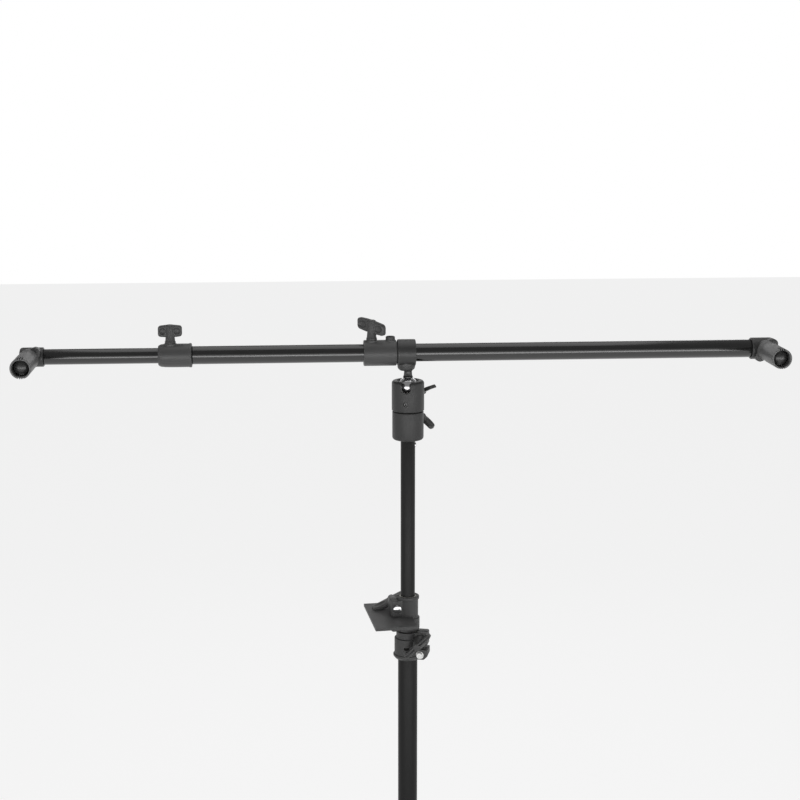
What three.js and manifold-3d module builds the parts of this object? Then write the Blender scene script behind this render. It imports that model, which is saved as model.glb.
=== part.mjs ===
// A studio stand that holds a reflector: a three-legged base of the C stand kind, a column of three
// telescoping tubes with split clamp collars, a ball head, and a telescoping crossbar with a spring
// grip at each end. Millimetres, +Z up, origin on the floor under the column's axis. The crossbar
// lies along X and its grips point to -Y.

import * as THREE from "three";
import { mergeVertices } from "three/addons/utils/BufferGeometryUtils.js";
import Module from "manifold-3d";

const wasm = await Module();
wasm.setup();

// ---- Driving dimensions -------------------------------------------------------------------------

// Clearances.
const FIT = 0.3; // radial or axial gap between a piece and the seat that holds it
const SLIDE_GAP = 0.5; // radial gap between telescoping tubes
const BUSH_GAP = 0.2; // radial gap round a guide bush

// Column tubes.
const COLUMN_OD = 30;
const TUBE_WALL = 1.5;
const COLUMN_LENGTH = 1125;
const MID_LENGTH = 855;
const TOP_LENGTH = 880;
const TOP_SHOWN = 246.5; // length of top riser between the upper collar and the head

// Base.
const HUB_RADIUS = 24;
const HUB_HEIGHT = 34;
const HUB_STEP = 0.6; // gap between neighbouring hubs
const SOCKET_RADIUS = 14.5;
const SOCKET_REACH = 66;
const LEG_OD = 20;
const LEG_WALL = 2;
const LEG_REACH = 480;
const LEG_SPREAD = THREE.MathUtils.degToRad(120);
const FOOT_CAP_Z = 56; // underside of the cap below the lowest hub
const FOOT_CAP_HEIGHT = 8;
const SHOE_WALL = 3.5;
const SHOE_LENGTH = 38;
const STOP_RING_HEIGHT = 12;
const HUB_BOSS_RADIUS = 10; // seat of the leg lock knob
const HUB_BOSS_RISE = 6; // height of that seat outside the hub

// Clamp collars.
const COLLAR_GAP = 1.6; // between the two collars when the middle section is fully down
const COLLAR_SLOT = 4.2;
const COLLAR_SLIT = 3;
const EAR_HALF = 12; // half the width of a pair of ears, along the bolt
const BOLT_RADIUS = 3;
const LOCK_HEAD_RADIUS = 6.5;
const LOCK_BOSS_RADIUS = 10;
const FIXING_HEAD_RADIUS = 5.8;
const LOWER_COLLAR_TURN = THREE.MathUtils.degToRad(-14.6);
const UPPER_COLLAR_TURN = THREE.MathUtils.degToRad(185.8);

// Head.
const STUD_RADIUS = 8;
const HEAD_RADIUS = 24.4;
const HEAD_NECK_RADIUS = 23.7;
const HEAD_BASE_HEIGHT = 43.7;
const HEAD_SEAM = 0.8;
const HEAD_SOCKET_HEIGHT = 46;
const HEAD_TURN = THREE.MathUtils.degToRad(-12.6);
const HEAD_KNOB_AZIMUTH = THREE.MathUtils.degToRad(68.5);
const BALL_RADIUS = 15;
const BALL_DEPTH = 9.6; // ball centre below the head's rim
const STEM_RADIUS = 6.5;
const NOTCH_WIDTH = 14.6;
const STEM_RISE = 25.2; // ball centre to the ring's boss

// Crossbar, as distances along X from the column's axis.
const BOOM_OD = 27;
const BOOM_LENGTH = 880;
const BOOM_RIGHT_END = 535.5;
const INNER_LENGTH = 600;
const INNER_SHOWN = 207; // inner tube beyond the boom's left end
const EXTENSION_COLLAR_OVERHANG = 25.5; // collar beyond the boom's left end
const EXTENSION_COLLAR_LENGTH = 49.4;
const EXTENSION_COLLAR_WALL = 4.2;
const SLEEVE_LEFT = -66.7;
const SLEEVE_LENGTH = 49.1;
const SLEEVE_WALL = 5.6;
const SLEEVE_NECK_WALL = 2.1;
const RING_GAP = 1.2; // between the sleeve's shoulder and the ring
const RING_LENGTH = 27.6;
const RING_WALL = 3.95;
const RING_BOSS_DEPTH = 6.25; // boss below the ring's outside
const CAP_WALL = 2.8;
const CAP_SOCKET = 15; // how far a tube goes into its end cap
const CAP_SOLID = 19.5; // closed outer part of an end cap

// Spring grips.
const PIVOT_INSET = 15; // grip axis from the closed end of its end cap
const GRIP_RADIUS = 15;
const GRIP_WALL = 2.6;
const GRIP_LENGTH = 75;
const GRIP_STANDOFF = 5.7; // barrel's floor from the larger end cap
const GRIP_FLOOR_THICKNESS = 4;
const GRIP_NOTCH_WIDTH = 8.4;
const GRIP_NOTCH_DEPTH = 12;
const PLUNGER_INSET = 6; // crown below the mouth
const PLUNGER_LENGTH = 19;
const SPRING_RADIUS = 9;
const SPRING_WIRE = 1.6;
const SPRING_TURNS = 6;

// ---- Sizes that follow --------------------------------------------------------------------------

const COLUMN_RADIUS = COLUMN_OD / 2;
const MID_RADIUS = COLUMN_RADIUS - TUBE_WALL - SLIDE_GAP;
const TOP_RADIUS = MID_RADIUS - TUBE_WALL - SLIDE_GAP;
const BOOM_RADIUS = BOOM_OD / 2;
const INNER_RADIUS = BOOM_RADIUS - TUBE_WALL - SLIDE_GAP;
const BOOM_LEFT_END = BOOM_RIGHT_END - BOOM_LENGTH;
const INNER_LEFT_END = BOOM_LEFT_END - INNER_SHOWN;
const EXTENSION_COLLAR_LEFT = BOOM_LEFT_END - EXTENSION_COLLAR_OVERHANG;
const EXTENSION_COLLAR_RADIUS = BOOM_RADIUS + FIT + EXTENSION_COLLAR_WALL;
const SLEEVE_BORE = BOOM_RADIUS + FIT;
const SLEEVE_RADIUS = SLEEVE_BORE + SLEEVE_WALL;
const SLEEVE_NECK = SLEEVE_BORE + SLEEVE_NECK_WALL;
const RING_RADIUS = SLEEVE_NECK + FIT + RING_WALL;
const RING_BOSS_DROP = RING_RADIUS + RING_BOSS_DEPTH;
const BALL_TO_BAR = RING_BOSS_DROP + STEM_RISE;
const GRIP_FLOOR = BOOM_RADIUS + CAP_WALL + GRIP_STANDOFF;
const GRIP_MOUTH = GRIP_FLOOR + GRIP_LENGTH;
const PLUNGER_CROWN = GRIP_MOUTH - PLUNGER_INSET;
const PLUNGER_BACK = PLUNGER_CROWN - PLUNGER_LENGTH;
const LEG_RADIUS = LEG_OD / 2;
const SHOE_RADIUS = LEG_RADIUS + SHOE_WALL;
const HUB_BASE_Z = FOOT_CAP_Z + FOOT_CAP_HEIGHT + HUB_STEP;
const COLUMN_Z = HUB_BASE_Z;
const COLUMN_TOP = COLUMN_Z + COLUMN_LENGTH;
const SEGMENTS = 20;
const QUARTER = Math.PI / 2;

// ---- Finishes -----------------------------------------------------------------------------------

const finish = (color, roughness, metalness) => ({ color, roughness, metalness });
const TUBE_PAINT = finish(0x1d1d1c, 0.3, 0.3);
const BLACK_PLASTIC = finish(0x4a4a4b, 0.6, 0.0);
const GREY_PLASTIC = finish(0x646464, 0.6, 0.0);
const HEAD_METAL = finish(0x2a2a2b, 0.35, 0.7);
const CHROME = finish(0xd9d9d9, 0.12, 1.0);
const ZINC = finish(0xc4c4c2, 0.3, 1.0);
const NYLON = finish(0xb9b6ad, 0.5, 0.0);
const CASTING = finish(0x262626, 0.5, 0.4);
const RUBBER = finish(0x181818, 0.85, 0.0);

// ---- Shape helpers ------------------------------------------------------------------------------

/** A closed geometry as a solid: merged corners, no empty triangles, faces outwards. */
function solid(geometry) {
  const bare = geometry.clone();
  bare.deleteAttribute("normal");
  bare.deleteAttribute("uv");
  const merged = mergeVertices(bare, 1e-4);
  const corners = merged.index.array;
  const make = (order) => {
    const triVerts = [];
    for (let i = 0; i < corners.length; i += 3) {
      const [a, b, c] = order.map((k) => corners[i + k]);
      if (a !== b && b !== c && c !== a) triVerts.push(a, b, c);
    }
    const vertProperties = merged.attributes.position.array;
    return new wasm.Manifold(
      new wasm.Mesh({ numProp: 3, vertProperties, triVerts: new Uint32Array(triVerts) }),
    );
  };
  const made = make([0, 1, 2]);
  return made.volume() > 0 ? made : make([0, 2, 1]);
}

/** A solid turned about +Z from a closed outline of [radius, height] points. */
function revolve(outline, segments = SEGMENTS) {
  const points = outline.map(([r, h]) => new THREE.Vector2(r, h));
  if (THREE.ShapeUtils.area(points) < 0) points.reverse();
  points.push(points[0].clone());
  return new THREE.LatheGeometry(points, segments).rotateX(QUARTER);
}

/** A solid rod on +Z. */
const rod = (radius, from, to, segments = SEGMENTS) =>
  revolve([[0, from], [radius, from], [radius, to], [0, to]], segments);

/** A hollow round tube on +Z. */
const pipe = (outer, inner, from, to, segments = SEGMENTS) =>
  revolve([[inner, from], [outer, from], [outer, to], [inner, to]], segments);

/** A box from its lowest corner to its highest. */
function block(low, high) {
  const size = high.map((value, i) => value - low[i]);
  const middle = high.map((value, i) => (value + low[i]) / 2);
  return new THREE.BoxGeometry(...size).translate(...middle);
}

/** A flat outline of [x, z] points made thick along Y, from y = from to y = to. */
function plateXZ(outline, from, to) {
  const shape = new THREE.Shape(outline.map(([x, z]) => new THREE.Vector2(x, z)));
  const thick = new THREE.ExtrudeGeometry(shape, { depth: to - from, bevelEnabled: false });
  return thick.rotateX(QUARTER).translate(0, to, 0);
}

/** Points along an arc, for outlines. */
function arc(centreX, centreY, radius, from, to, steps) {
  const points = [];
  for (let i = 0; i <= steps; i += 1) {
    const angle = from + ((to - from) * i) / steps;
    points.push([centreX + radius * Math.cos(angle), centreY + radius * Math.sin(angle)]);
  }
  return points;
}

/** Joins and cuts geometries into one solid. */
function fuse(added, cut = []) {
  const whole = added.map(solid).reduce((sum, next) => sum.add(next));
  return cut.map(solid).reduce((left, tool) => left.subtract(tool), whole);
}

/** A named mesh made of one solid. */
function piece(name, shape, { color, roughness, metalness }) {
  const { vertProperties, triVerts } = shape.getMesh();
  const geometry = new THREE.BufferGeometry();
  geometry.setAttribute("position", new THREE.BufferAttribute(vertProperties, 3));
  geometry.setIndex(new THREE.BufferAttribute(triVerts, 1));
  geometry.computeVertexNormals();
  const material = new THREE.MeshStandardMaterial({ color, roughness, metalness });
  const made = new THREE.Mesh(geometry, material);
  made.name = name;
  return made;
}

/** A group at a place, turned, holding pieces or other groups. */
function place(children, position, rotation = [0, 0, 0]) {
  const group = new THREE.Group();
  group.add(...children);
  group.position.set(...position);
  group.rotation.set(...rotation);
  return group;
}

// ---- Knobs and fasteners ------------------------------------------------------------------------

/**
 * A wing knob on +Z with its seat at z = 0: a tapered boss and a blade in the XZ plane. skew lifts
 * the blade's -X end and lowers the other. screw is the length of its own screw below the seat, and
 * bore the depth of a blind hole for a separate bolt.
 */
function wingKnob({ bossRadius, bossHeight, half, bottom, top, thickness, skew = 0, screw = 0, bore = 0 }) {
  const boss = revolve([
    [0, 0],
    [bossRadius, 0],
    [bossRadius, bossHeight * 0.35],
    [bossRadius * 0.82, bossHeight],
    [0, bossHeight],
  ]);
  const corner = Math.min(3, (top - bottom) / 4);
  const blade = plateXZ(
    [
      [-half, bottom + skew],
      [half, bottom - skew],
      [half, top - skew - corner],
      [half - corner, top - skew],
      [0, top + corner / 2],
      [corner - half, top + skew],
      [-half, top + skew - corner],
    ],
    -thickness / 2,
    thickness / 2,
  );
  const rib = rod(thickness * 0.75, bossHeight * 0.5, top - corner / 2, 12);
  const added = [boss, blade, rib];
  if (screw > 0) added.push(rod(BOLT_RADIUS, -screw, 1, 12));
  const cut = bore > 0 ? [rod(BOLT_RADIUS + FIT, -1, bore, 12)] : [];
  return fuse(added, cut);
}

/** A bolt on +Z: the underside of its head at z = 0, its shank below, and a round or hexagon head. */
function bolt({ headRadius, headHeight, sides, shank, radius = BOLT_RADIUS }) {
  const dome = sides > 6 ? 0.6 : 0.88;
  const head = revolve(
    [
      [0, 0],
      [headRadius, 0],
      [headRadius, headHeight * dome],
      [headRadius * 0.8, headHeight],
      [0, headHeight],
    ],
    sides,
  );
  return fuse([head, rod(radius, -shank, 0.5, 12)]);
}

// ---- Base ---------------------------------------------------------------------------------------

/** A route in the XZ plane through the given corners, with each corner rounded. */
function bentRoute(corners, rounding) {
  const points = corners.map(([x, z]) => new THREE.Vector3(x, 0, z));
  const route = new THREE.CurvePath();
  let start = points[0];
  for (let i = 1; i < points.length - 1; i += 1) {
    const into = points[i].clone().sub(points[i - 1]).normalize();
    const out = points[i + 1].clone().sub(points[i]).normalize();
    const before = points[i].clone().addScaledVector(into, -rounding);
    const after = points[i].clone().addScaledVector(out, rounding);
    route.add(new THREE.LineCurve3(start, before));
    route.add(new THREE.QuadraticBezierCurve3(before, points[i], after));
    start = after;
  }
  route.add(new THREE.LineCurve3(start, points.at(-1)));
  return route;
}

/** A leg in the XZ plane that steps down from its hub to the floor, running out to +X. */
function legTube(height) {
  const drop = height - LEG_REACH * 0.065;
  const corners = [
    [HUB_RADIUS + 4, height],
    [SOCKET_REACH + 22, height],
    [SOCKET_REACH + 22 + drop * 0.62, height - drop],
    [LEG_REACH - SHOE_LENGTH - 22, SHOE_RADIUS],
    [LEG_REACH - SHOE_WALL - FIT, SHOE_RADIUS],
  ];
  const section = new THREE.Shape().absarc(0, 0, LEG_RADIUS, 0, 2 * Math.PI, false);
  section.holes.push(new THREE.Path().absarc(0, 0, LEG_RADIUS - LEG_WALL, 0, 2 * Math.PI, true));
  const path = bentRoute(corners, 15);
  return solid(
    new THREE.ExtrudeGeometry(section, { extrudePath: path, steps: 26, curveSegments: 5 }),
  );
}

/** A hub round the column with one leg socket towards +X; locked adds the seat of a lock knob. */
function legHub(locked) {
  const middle = HUB_HEIGHT / 2;
  const added = [
    revolve([
      [0, 0],
      [HUB_RADIUS - 1.5, 0],
      [HUB_RADIUS, 1.5],
      [HUB_RADIUS, HUB_HEIGHT - 1.5],
      [HUB_RADIUS - 1.5, HUB_HEIGHT],
      [0, HUB_HEIGHT],
    ]),
    rod(SOCKET_RADIUS, 0, SOCKET_REACH, 16).rotateY(QUARTER).translate(0, 0, middle),
  ];
  const cut = [
    rod(LEG_RADIUS + FIT, HUB_RADIUS + 3, SOCKET_REACH + 1, 16).rotateY(QUARTER).translate(0, 0, middle),
  ];
  if (locked) {
    added.push(rod(HUB_BOSS_RADIUS, 0, HUB_RADIUS + HUB_BOSS_RISE, 16).rotateY(-QUARTER).translate(0, 0, middle));
    cut.push(rod(BOLT_RADIUS + FIT, 0, HUB_RADIUS + HUB_BOSS_RISE + 1, 12).rotateY(-QUARTER).translate(0, 0, middle));
  }
  cut.push(rod(COLUMN_RADIUS + FIT, -1, HUB_HEIGHT + 1));
  return fuse(added, cut);
}

/** The rubber shoe on a leg's end, along +X, with a flat sole at z = 0. */
function legShoe() {
  const flat = SHOE_RADIUS * 0.45; // half width of the sole
  const lift = Math.sqrt(SHOE_RADIUS ** 2 - flat ** 2);
  const start = -Math.asin(lift / SHOE_RADIUS);
  const outline = arc(0, SHOE_RADIUS, SHOE_RADIUS, start, Math.PI - start, 16);
  outline.unshift([flat, 0]);
  outline.push([-flat, 0]);
  const shape = new THREE.Shape(outline.map(([y, z]) => new THREE.Vector2(y, z)));
  const along = new THREE.ExtrudeGeometry(shape, { depth: SHOE_LENGTH, bevelEnabled: false })
    .rotateX(QUARTER)
    .rotateZ(QUARTER);
  const bore = rod(LEG_RADIUS + FIT, -1, SHOE_LENGTH - SHOE_WALL, 16)
    .rotateY(QUARTER)
    .translate(0, 0, SHOE_RADIUS);
  return fuse([along], [bore]);
}

/** One leg at its azimuth: hub, bent tube and shoe. */
function leg(name, storey, locked) {
  const hubZ = HUB_BASE_Z + storey * (HUB_HEIGHT + HUB_STEP);
  const hub = piece(`${name}_leg_hub`, legHub(locked), CASTING);
  hub.position.z = hubZ;
  const tube = piece(`${name}_leg_tube`, legTube(hubZ + HUB_HEIGHT / 2), TUBE_PAINT);
  const shoe = piece(`${name}_leg_foot`, legShoe(), RUBBER);
  shoe.position.x = LEG_REACH - SHOE_LENGTH;
  return place([hub, tube, shoe], [0, 0, 0], [0, 0, storey * LEG_SPREAD]);
}

/** The whole base: three legs on their hubs, the cap below, the stop ring and the lock knob. */
function base() {
  const cap = piece(
    "column_foot_cap",
    fuse([
      rod(HUB_RADIUS, FOOT_CAP_Z, FOOT_CAP_Z + FOOT_CAP_HEIGHT),
      rod(COLUMN_RADIUS - TUBE_WALL - FIT, FOOT_CAP_Z + 1, COLUMN_Z + 20),
    ]),
    BLACK_PLASTIC,
  );
  const ringZ = HUB_BASE_Z + 3 * (HUB_HEIGHT + HUB_STEP);
  const ring = piece(
    "hub_stop_ring",
    solid(pipe(HUB_RADIUS - 2, COLUMN_RADIUS + FIT, ringZ, ringZ + STOP_RING_HEIGHT)),
    ZINC,
  );
  const knob = piece(
    "leg_lock_knob",
    wingKnob({
      bossRadius: 9,
      bossHeight: 14,
      half: 16,
      bottom: 9,
      top: 27,
      thickness: 8,
      screw: HUB_RADIUS + HUB_BOSS_RISE - COLUMN_RADIUS,
    }),
    BLACK_PLASTIC,
  );
  const highHubZ = HUB_BASE_Z + 2 * (HUB_HEIGHT + HUB_STEP);
  const knobAway = place(
    [knob],
    [-(HUB_RADIUS + HUB_BOSS_RISE + FIT), 0, highHubZ + HUB_HEIGHT / 2],
    [0, -QUARTER, 0],
  );
  const knobPlace = place([knobAway], [0, 0, 0], [0, 0, 2 * LEG_SPREAD]);
  return [cap, ring, knobPlace, leg("low", 0, false), leg("mid", 1, false), leg("high", 2, true)];
}

// ---- Clamp collars ------------------------------------------------------------------------------

/**
 * A split clamp collar on +Z with its ears towards +X: a lower ring that stays on the outer tube and
 * an upper ring that closes on the riser, parted by a slot and joined behind. skirt, low, high and
 * rim are outside radii from the bottom up.
 */
function clampCollar(c) {
  const slotTop = c.slotZ + COLLAR_SLOT;
  const added = [
    revolve([
      [0, 0],
      [c.low - 1.5, 0],
      [c.skirt, c.skirtZ - 3],
      [c.skirt, c.skirtZ],
      [c.low, c.skirtZ],
      [c.low, c.stepZ],
      [c.high, c.stepZ],
      [c.high, c.rimZ],
      [c.rim, c.rimZ],
      [c.rim, c.height],
      [0, c.height],
    ]),
    plateXZ(
      [
        [0, 1],
        [c.lowEar - 6, 1],
        [c.lowEar, 7],
        [c.lowEar, c.slotZ],
        [0, c.slotZ],
      ],
      -EAR_HALF,
      EAR_HALF,
    ),
    plateXZ(
      [
        [0, slotTop],
        [c.highEar, slotTop],
        [c.highEar, c.earTop - 3],
        [c.highEar - 3, c.earTop],
        [0, c.earTop],
      ],
      -EAR_HALF,
      EAR_HALF,
    ),
  ];
  const reach = c.lowEar + c.highEar;
  const cut = [
    rod(c.bore, -1, c.height + 1),
    block([0, -COLLAR_SLIT / 2, -1], [reach, COLLAR_SLIT / 2, c.height + 1]),
    block([c.slotStart, -reach, c.slotZ], [reach, reach, slotTop]),
  ];
  const across = (radius, from, to, x, z) =>
    rod(radius, from, to, 16).rotateX(-QUARTER).translate(x, 0, z);
  for (const [x, z] of [[c.fixX, c.fixZ], [c.lockX, c.lockZ]]) {
    cut.push(across(BOLT_RADIUS + FIT, -reach, reach, x, z));
  }
  const [fixFrom, fixTo] = c.fixingHeadSide > 0 ? [EAR_HALF, reach] : [-reach, -EAR_HALF];
  cut.push(across(FIXING_HEAD_RADIUS + FIT, fixFrom, fixTo, c.fixX, c.fixZ));
  cut.push(across(LOCK_HEAD_RADIUS + FIT, EAR_HALF, reach, c.lockX, c.lockZ));
  cut.push(across(LOCK_BOSS_RADIUS + FIT, -reach, -EAR_HALF, c.lockX, c.lockZ));
  return fuse(added, cut);
}

/** A collar with its bush, its lock bolt and knob at -Y, and its fixing bolt. */
function collarSet(name, c, z, turn) {
  const collar = piece(`${name}_collar`, clampCollar(c), GREY_PLASTIC);
  const bush = piece(
    `${name}_collar_bush`,
    solid(pipe(c.bore - FIT, c.riser + BUSH_GAP, c.tubeTop + FIT, c.height - 0.5)),
    NYLON,
  );
  const lockBolt = piece(
    `${name}_lock_bolt`,
    bolt({ headRadius: LOCK_HEAD_RADIUS, headHeight: 3.6, sides: 16, shank: 2 * EAR_HALF + 2 * FIT + 8 }),
    CHROME,
  );
  const lockKnob = piece(
    `${name}_lock_knob`,
    wingKnob({
      bossRadius: LOCK_BOSS_RADIUS,
      bossHeight: 16,
      half: c.knobHalf,
      bottom: 10,
      top: 31,
      thickness: 8.5,
      bore: 11,
    }),
    BLACK_PLASTIC,
  );
  const fixingBolt = piece(
    `${name}_fixing_bolt`,
    bolt({ headRadius: FIXING_HEAD_RADIUS, headHeight: 4, sides: 6, shank: 2 * EAR_HALF + FIT + 5 }),
    ZINC,
  );
  const side = c.fixingHeadSide;
  return place(
    [
      collar,
      bush,
      place([lockBolt], [c.lockX, EAR_HALF + FIT, c.lockZ], [-QUARTER, 0, 0]),
      place([lockKnob], [c.lockX, -EAR_HALF - FIT, c.lockZ], [QUARTER, 0, c.knobAngle]),
      place([fixingBolt], [c.fixX, side * (EAR_HALF + FIT), c.fixZ], [-side * QUARTER, 0, 0]),
    ],
    [0, 0, z],
    [0, 0, turn],
  );
}

const LOWER = {
  height: 43.8,
  bore: COLUMN_RADIUS + FIT,
  riser: MID_RADIUS,
  low: COLUMN_RADIUS + 5.5,
  skirt: COLUMN_RADIUS + 7.5,
  skirtZ: 7,
  stepZ: 33.4,
  high: COLUMN_RADIUS + 2.7,
  rim: COLUMN_RADIUS + 2.7,
  rimZ: 40,
  slotZ: 17.4,
  slotStart: -2,
  tubeTop: 20.4,
  lowEar: COLUMN_RADIUS + 18,
  highEar: COLUMN_RADIUS + 17,
  earTop: 43.6,
  fixX: COLUMN_RADIUS + 6,
  fixZ: 8.6,
  lockX: COLUMN_RADIUS + 6.2,
  lockZ: 31.4,
  knobHalf: 25.5,
  knobAngle: THREE.MathUtils.degToRad(-43.7),
  fixingHeadSide: -1,
};

const UPPER = {
  height: 55,
  bore: MID_RADIUS + FIT,
  riser: TOP_RADIUS,
  low: MID_RADIUS + 5.3,
  skirt: MID_RADIUS + 5.3,
  skirtZ: 6,
  stepZ: 21,
  high: MID_RADIUS + 3,
  rim: MID_RADIUS + 4.5,
  rimZ: 50.5,
  slotZ: 20.6,
  slotStart: -5,
  tubeTop: 24.5,
  lowEar: MID_RADIUS + 18.5,
  highEar: MID_RADIUS + 15,
  earTop: 50,
  fixX: MID_RADIUS + 6.5,
  fixZ: 11.3,
  lockX: MID_RADIUS + 5.6,
  lockZ: 37.4,
  knobHalf: 33,
  knobAngle: THREE.MathUtils.degToRad(28),
  fixingHeadSide: 1,
};

const LOWER_COLLAR_Z = COLUMN_TOP - LOWER.tubeTop;
const UPPER_COLLAR_Z = LOWER_COLLAR_Z + LOWER.height + COLLAR_GAP;
const MID_TOP = UPPER_COLLAR_Z + UPPER.tubeTop;
const HEAD_Z = UPPER_COLLAR_Z + UPPER.height + TOP_SHOWN;

// ---- Column -------------------------------------------------------------------------------------

const BUSH_FLANGE = 6;
const BUSH_PLUG = 14;
const STUD_SCREW_DROP = 9; // cross screw below the riser's top

/** A guide bush plugged into a tube's lower end at z = 0, its flange running in the tube outside. */
function endBush(tubeRadius, runningRadius) {
  return fuse([
    rod(runningRadius - BUSH_GAP, -BUSH_FLANGE, 0),
    rod(tubeRadius - TUBE_WALL - FIT, -1, BUSH_PLUG),
  ]);
}

/** The column tube, both risers with their lower bushes, and both collar sets. */
function column() {
  const lower = piece(
    "lower_column",
    solid(pipe(COLUMN_RADIUS, COLUMN_RADIUS - TUBE_WALL, COLUMN_Z, COLUMN_TOP)),
    TUBE_PAINT,
  );
  const mid = piece(
    "mid_riser",
    solid(pipe(MID_RADIUS, MID_RADIUS - TUBE_WALL, MID_TOP - MID_LENGTH, MID_TOP)),
    TUBE_PAINT,
  );
  const topEnd = HEAD_Z - FIT;
  const screwHole = rod(BOLT_RADIUS + FIT, 0, TOP_RADIUS + 2, 12)
    .rotateY(QUARTER)
    .translate(0, 0, HEAD_Z - STUD_SCREW_DROP);
  const top = piece(
    "top_riser",
    fuse([pipe(TOP_RADIUS, TOP_RADIUS - TUBE_WALL, topEnd - TOP_LENGTH, topEnd)], [screwHole]),
    TUBE_PAINT,
  );
  const midBush = piece(
    "mid_riser_bush",
    endBush(MID_RADIUS, COLUMN_RADIUS - TUBE_WALL),
    NYLON,
  );
  midBush.position.z = MID_TOP - MID_LENGTH - FIT;
  const topBush = piece("top_riser_bush", endBush(TOP_RADIUS, MID_RADIUS - TUBE_WALL), NYLON);
  topBush.position.z = topEnd - TOP_LENGTH - FIT;
  return [
    lower,
    mid,
    midBush,
    top,
    topBush,
    collarSet("lower", LOWER, LOWER_COLLAR_Z, LOWER_COLLAR_TURN),
    collarSet("upper", UPPER, UPPER_COLLAR_Z, UPPER_COLLAR_TURN),
  ];
}

// ---- Ball head ----------------------------------------------------------------------------------

const STUD_RISE = 34; // height of the stud above the top riser
const STUD_PLUG = 24; // length of the stud inside the top riser
const SEAT_HEIGHT = 9;
const SOCKET_FLOOR = 18; // thickness of metal below the ball seat

/** The stud on top of the column, plugged into the top riser and held by a cross screw. */
function stud() {
  const plug = TOP_RADIUS - TUBE_WALL - FIT;
  const hole = rod(BOLT_RADIUS, 0, TOP_RADIUS + 2, 12).rotateY(QUARTER).translate(0, 0, -STUD_SCREW_DROP);
  const body = piece(
    "top_stud",
    fuse([rod(plug, -STUD_PLUG, 0), rod(STUD_RADIUS, -1, STUD_RISE)], [hole]),
    ZINC,
  );
  const screw = piece(
    "stud_screw",
    bolt({ headRadius: 3.8, headHeight: 1.6, sides: 14, shank: 5, radius: BOLT_RADIUS - FIT }),
    CHROME,
  );
  const screwPlace = place([screw], [TOP_RADIUS + FIT, 0, -STUD_SCREW_DROP], [0, QUARTER, 0]);
  return place([body, screwPlace], [0, 0, HEAD_Z]);
}

/** A threaded cross hole at the head knobs' azimuth, at the given height. */
function headKnobHole(z) {
  return rod(BOLT_RADIUS + FIT, 0, HEAD_RADIUS + 2, 12)
    .rotateY(QUARTER)
    .rotateZ(HEAD_KNOB_AZIMUTH)
    .translate(0, 0, z);
}

const HEAD_BASE_KNOB_Z = 27;
const HEAD_SOCKET_KNOB_Z = 21;

/** The head's lower half, bored for the stud. */
function headBase() {
  return fuse(
    [
      revolve([
        [0, 0],
        [HEAD_NECK_RADIUS - 3.5, 0],
        [HEAD_NECK_RADIUS - 1, 1],
        [HEAD_NECK_RADIUS, 4],
        [HEAD_NECK_RADIUS, HEAD_BASE_HEIGHT],
        [0, HEAD_BASE_HEIGHT],
      ], 24),
    ],
    [rod(STUD_RADIUS + FIT, -1, STUD_RISE + FIT), headKnobHole(HEAD_BASE_KNOB_Z)],
  );
}

/** The head's upper half: a socket round the ball, open above and notched in front. */
function headSocket() {
  const centre = HEAD_SOCKET_HEIGHT - BALL_DEPTH;
  const hollow = BALL_RADIUS + FIT;
  const lip = 5.8; // height of the retaining lip above the ball's centre
  const lipAngle = Math.asin(lip / hollow);
  const outline = [
    [HEAD_RADIUS - 2.4, 0],
    [HEAD_RADIUS, 2],
    [HEAD_RADIUS, HEAD_SOCKET_HEIGHT - 3],
    [HEAD_RADIUS - 0.9, HEAD_SOCKET_HEIGHT - 0.9],
    [HEAD_RADIUS - 3, HEAD_SOCKET_HEIGHT],
    [BALL_RADIUS + 1, HEAD_SOCKET_HEIGHT],
    ...arc(0, centre, hollow, lipAngle, 0, 3),
    [hollow, SOCKET_FLOOR],
    [0, SOCKET_FLOOR],
    [0, 0],
  ];
  const notch = [
    rod(NOTCH_WIDTH / 2, 0, HEAD_RADIUS + 5, 20).rotateX(QUARTER).translate(0, 0, centre),
    block([-NOTCH_WIDTH / 2, -HEAD_RADIUS - 5, centre], [NOTCH_WIDTH / 2, 0, HEAD_SOCKET_HEIGHT + 5]),
  ];
  const grubHole = rod(3.5, HEAD_RADIUS - 6, HEAD_RADIUS + 2, 12).rotateX(QUARTER).translate(0, 0, 13);
  return fuse([revolve(outline, 24)], [...notch, grubHole, headKnobHole(HEAD_SOCKET_KNOB_Z)]);
}

/** The nylon cup under the ball. */
function ballSeat() {
  const centre = HEAD_SOCKET_HEIGHT - BALL_DEPTH;
  const cup = rod(BALL_RADIUS - FIT, SOCKET_FLOOR + FIT, SOCKET_FLOOR + SEAT_HEIGHT);
  const hollow = new THREE.SphereGeometry(BALL_RADIUS + FIT, 20, 14).translate(0, 0, centre);
  const screwWay = headKnobHole(HEAD_SOCKET_KNOB_Z);
  return fuse([cup], [hollow, screwWay]);
}

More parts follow.
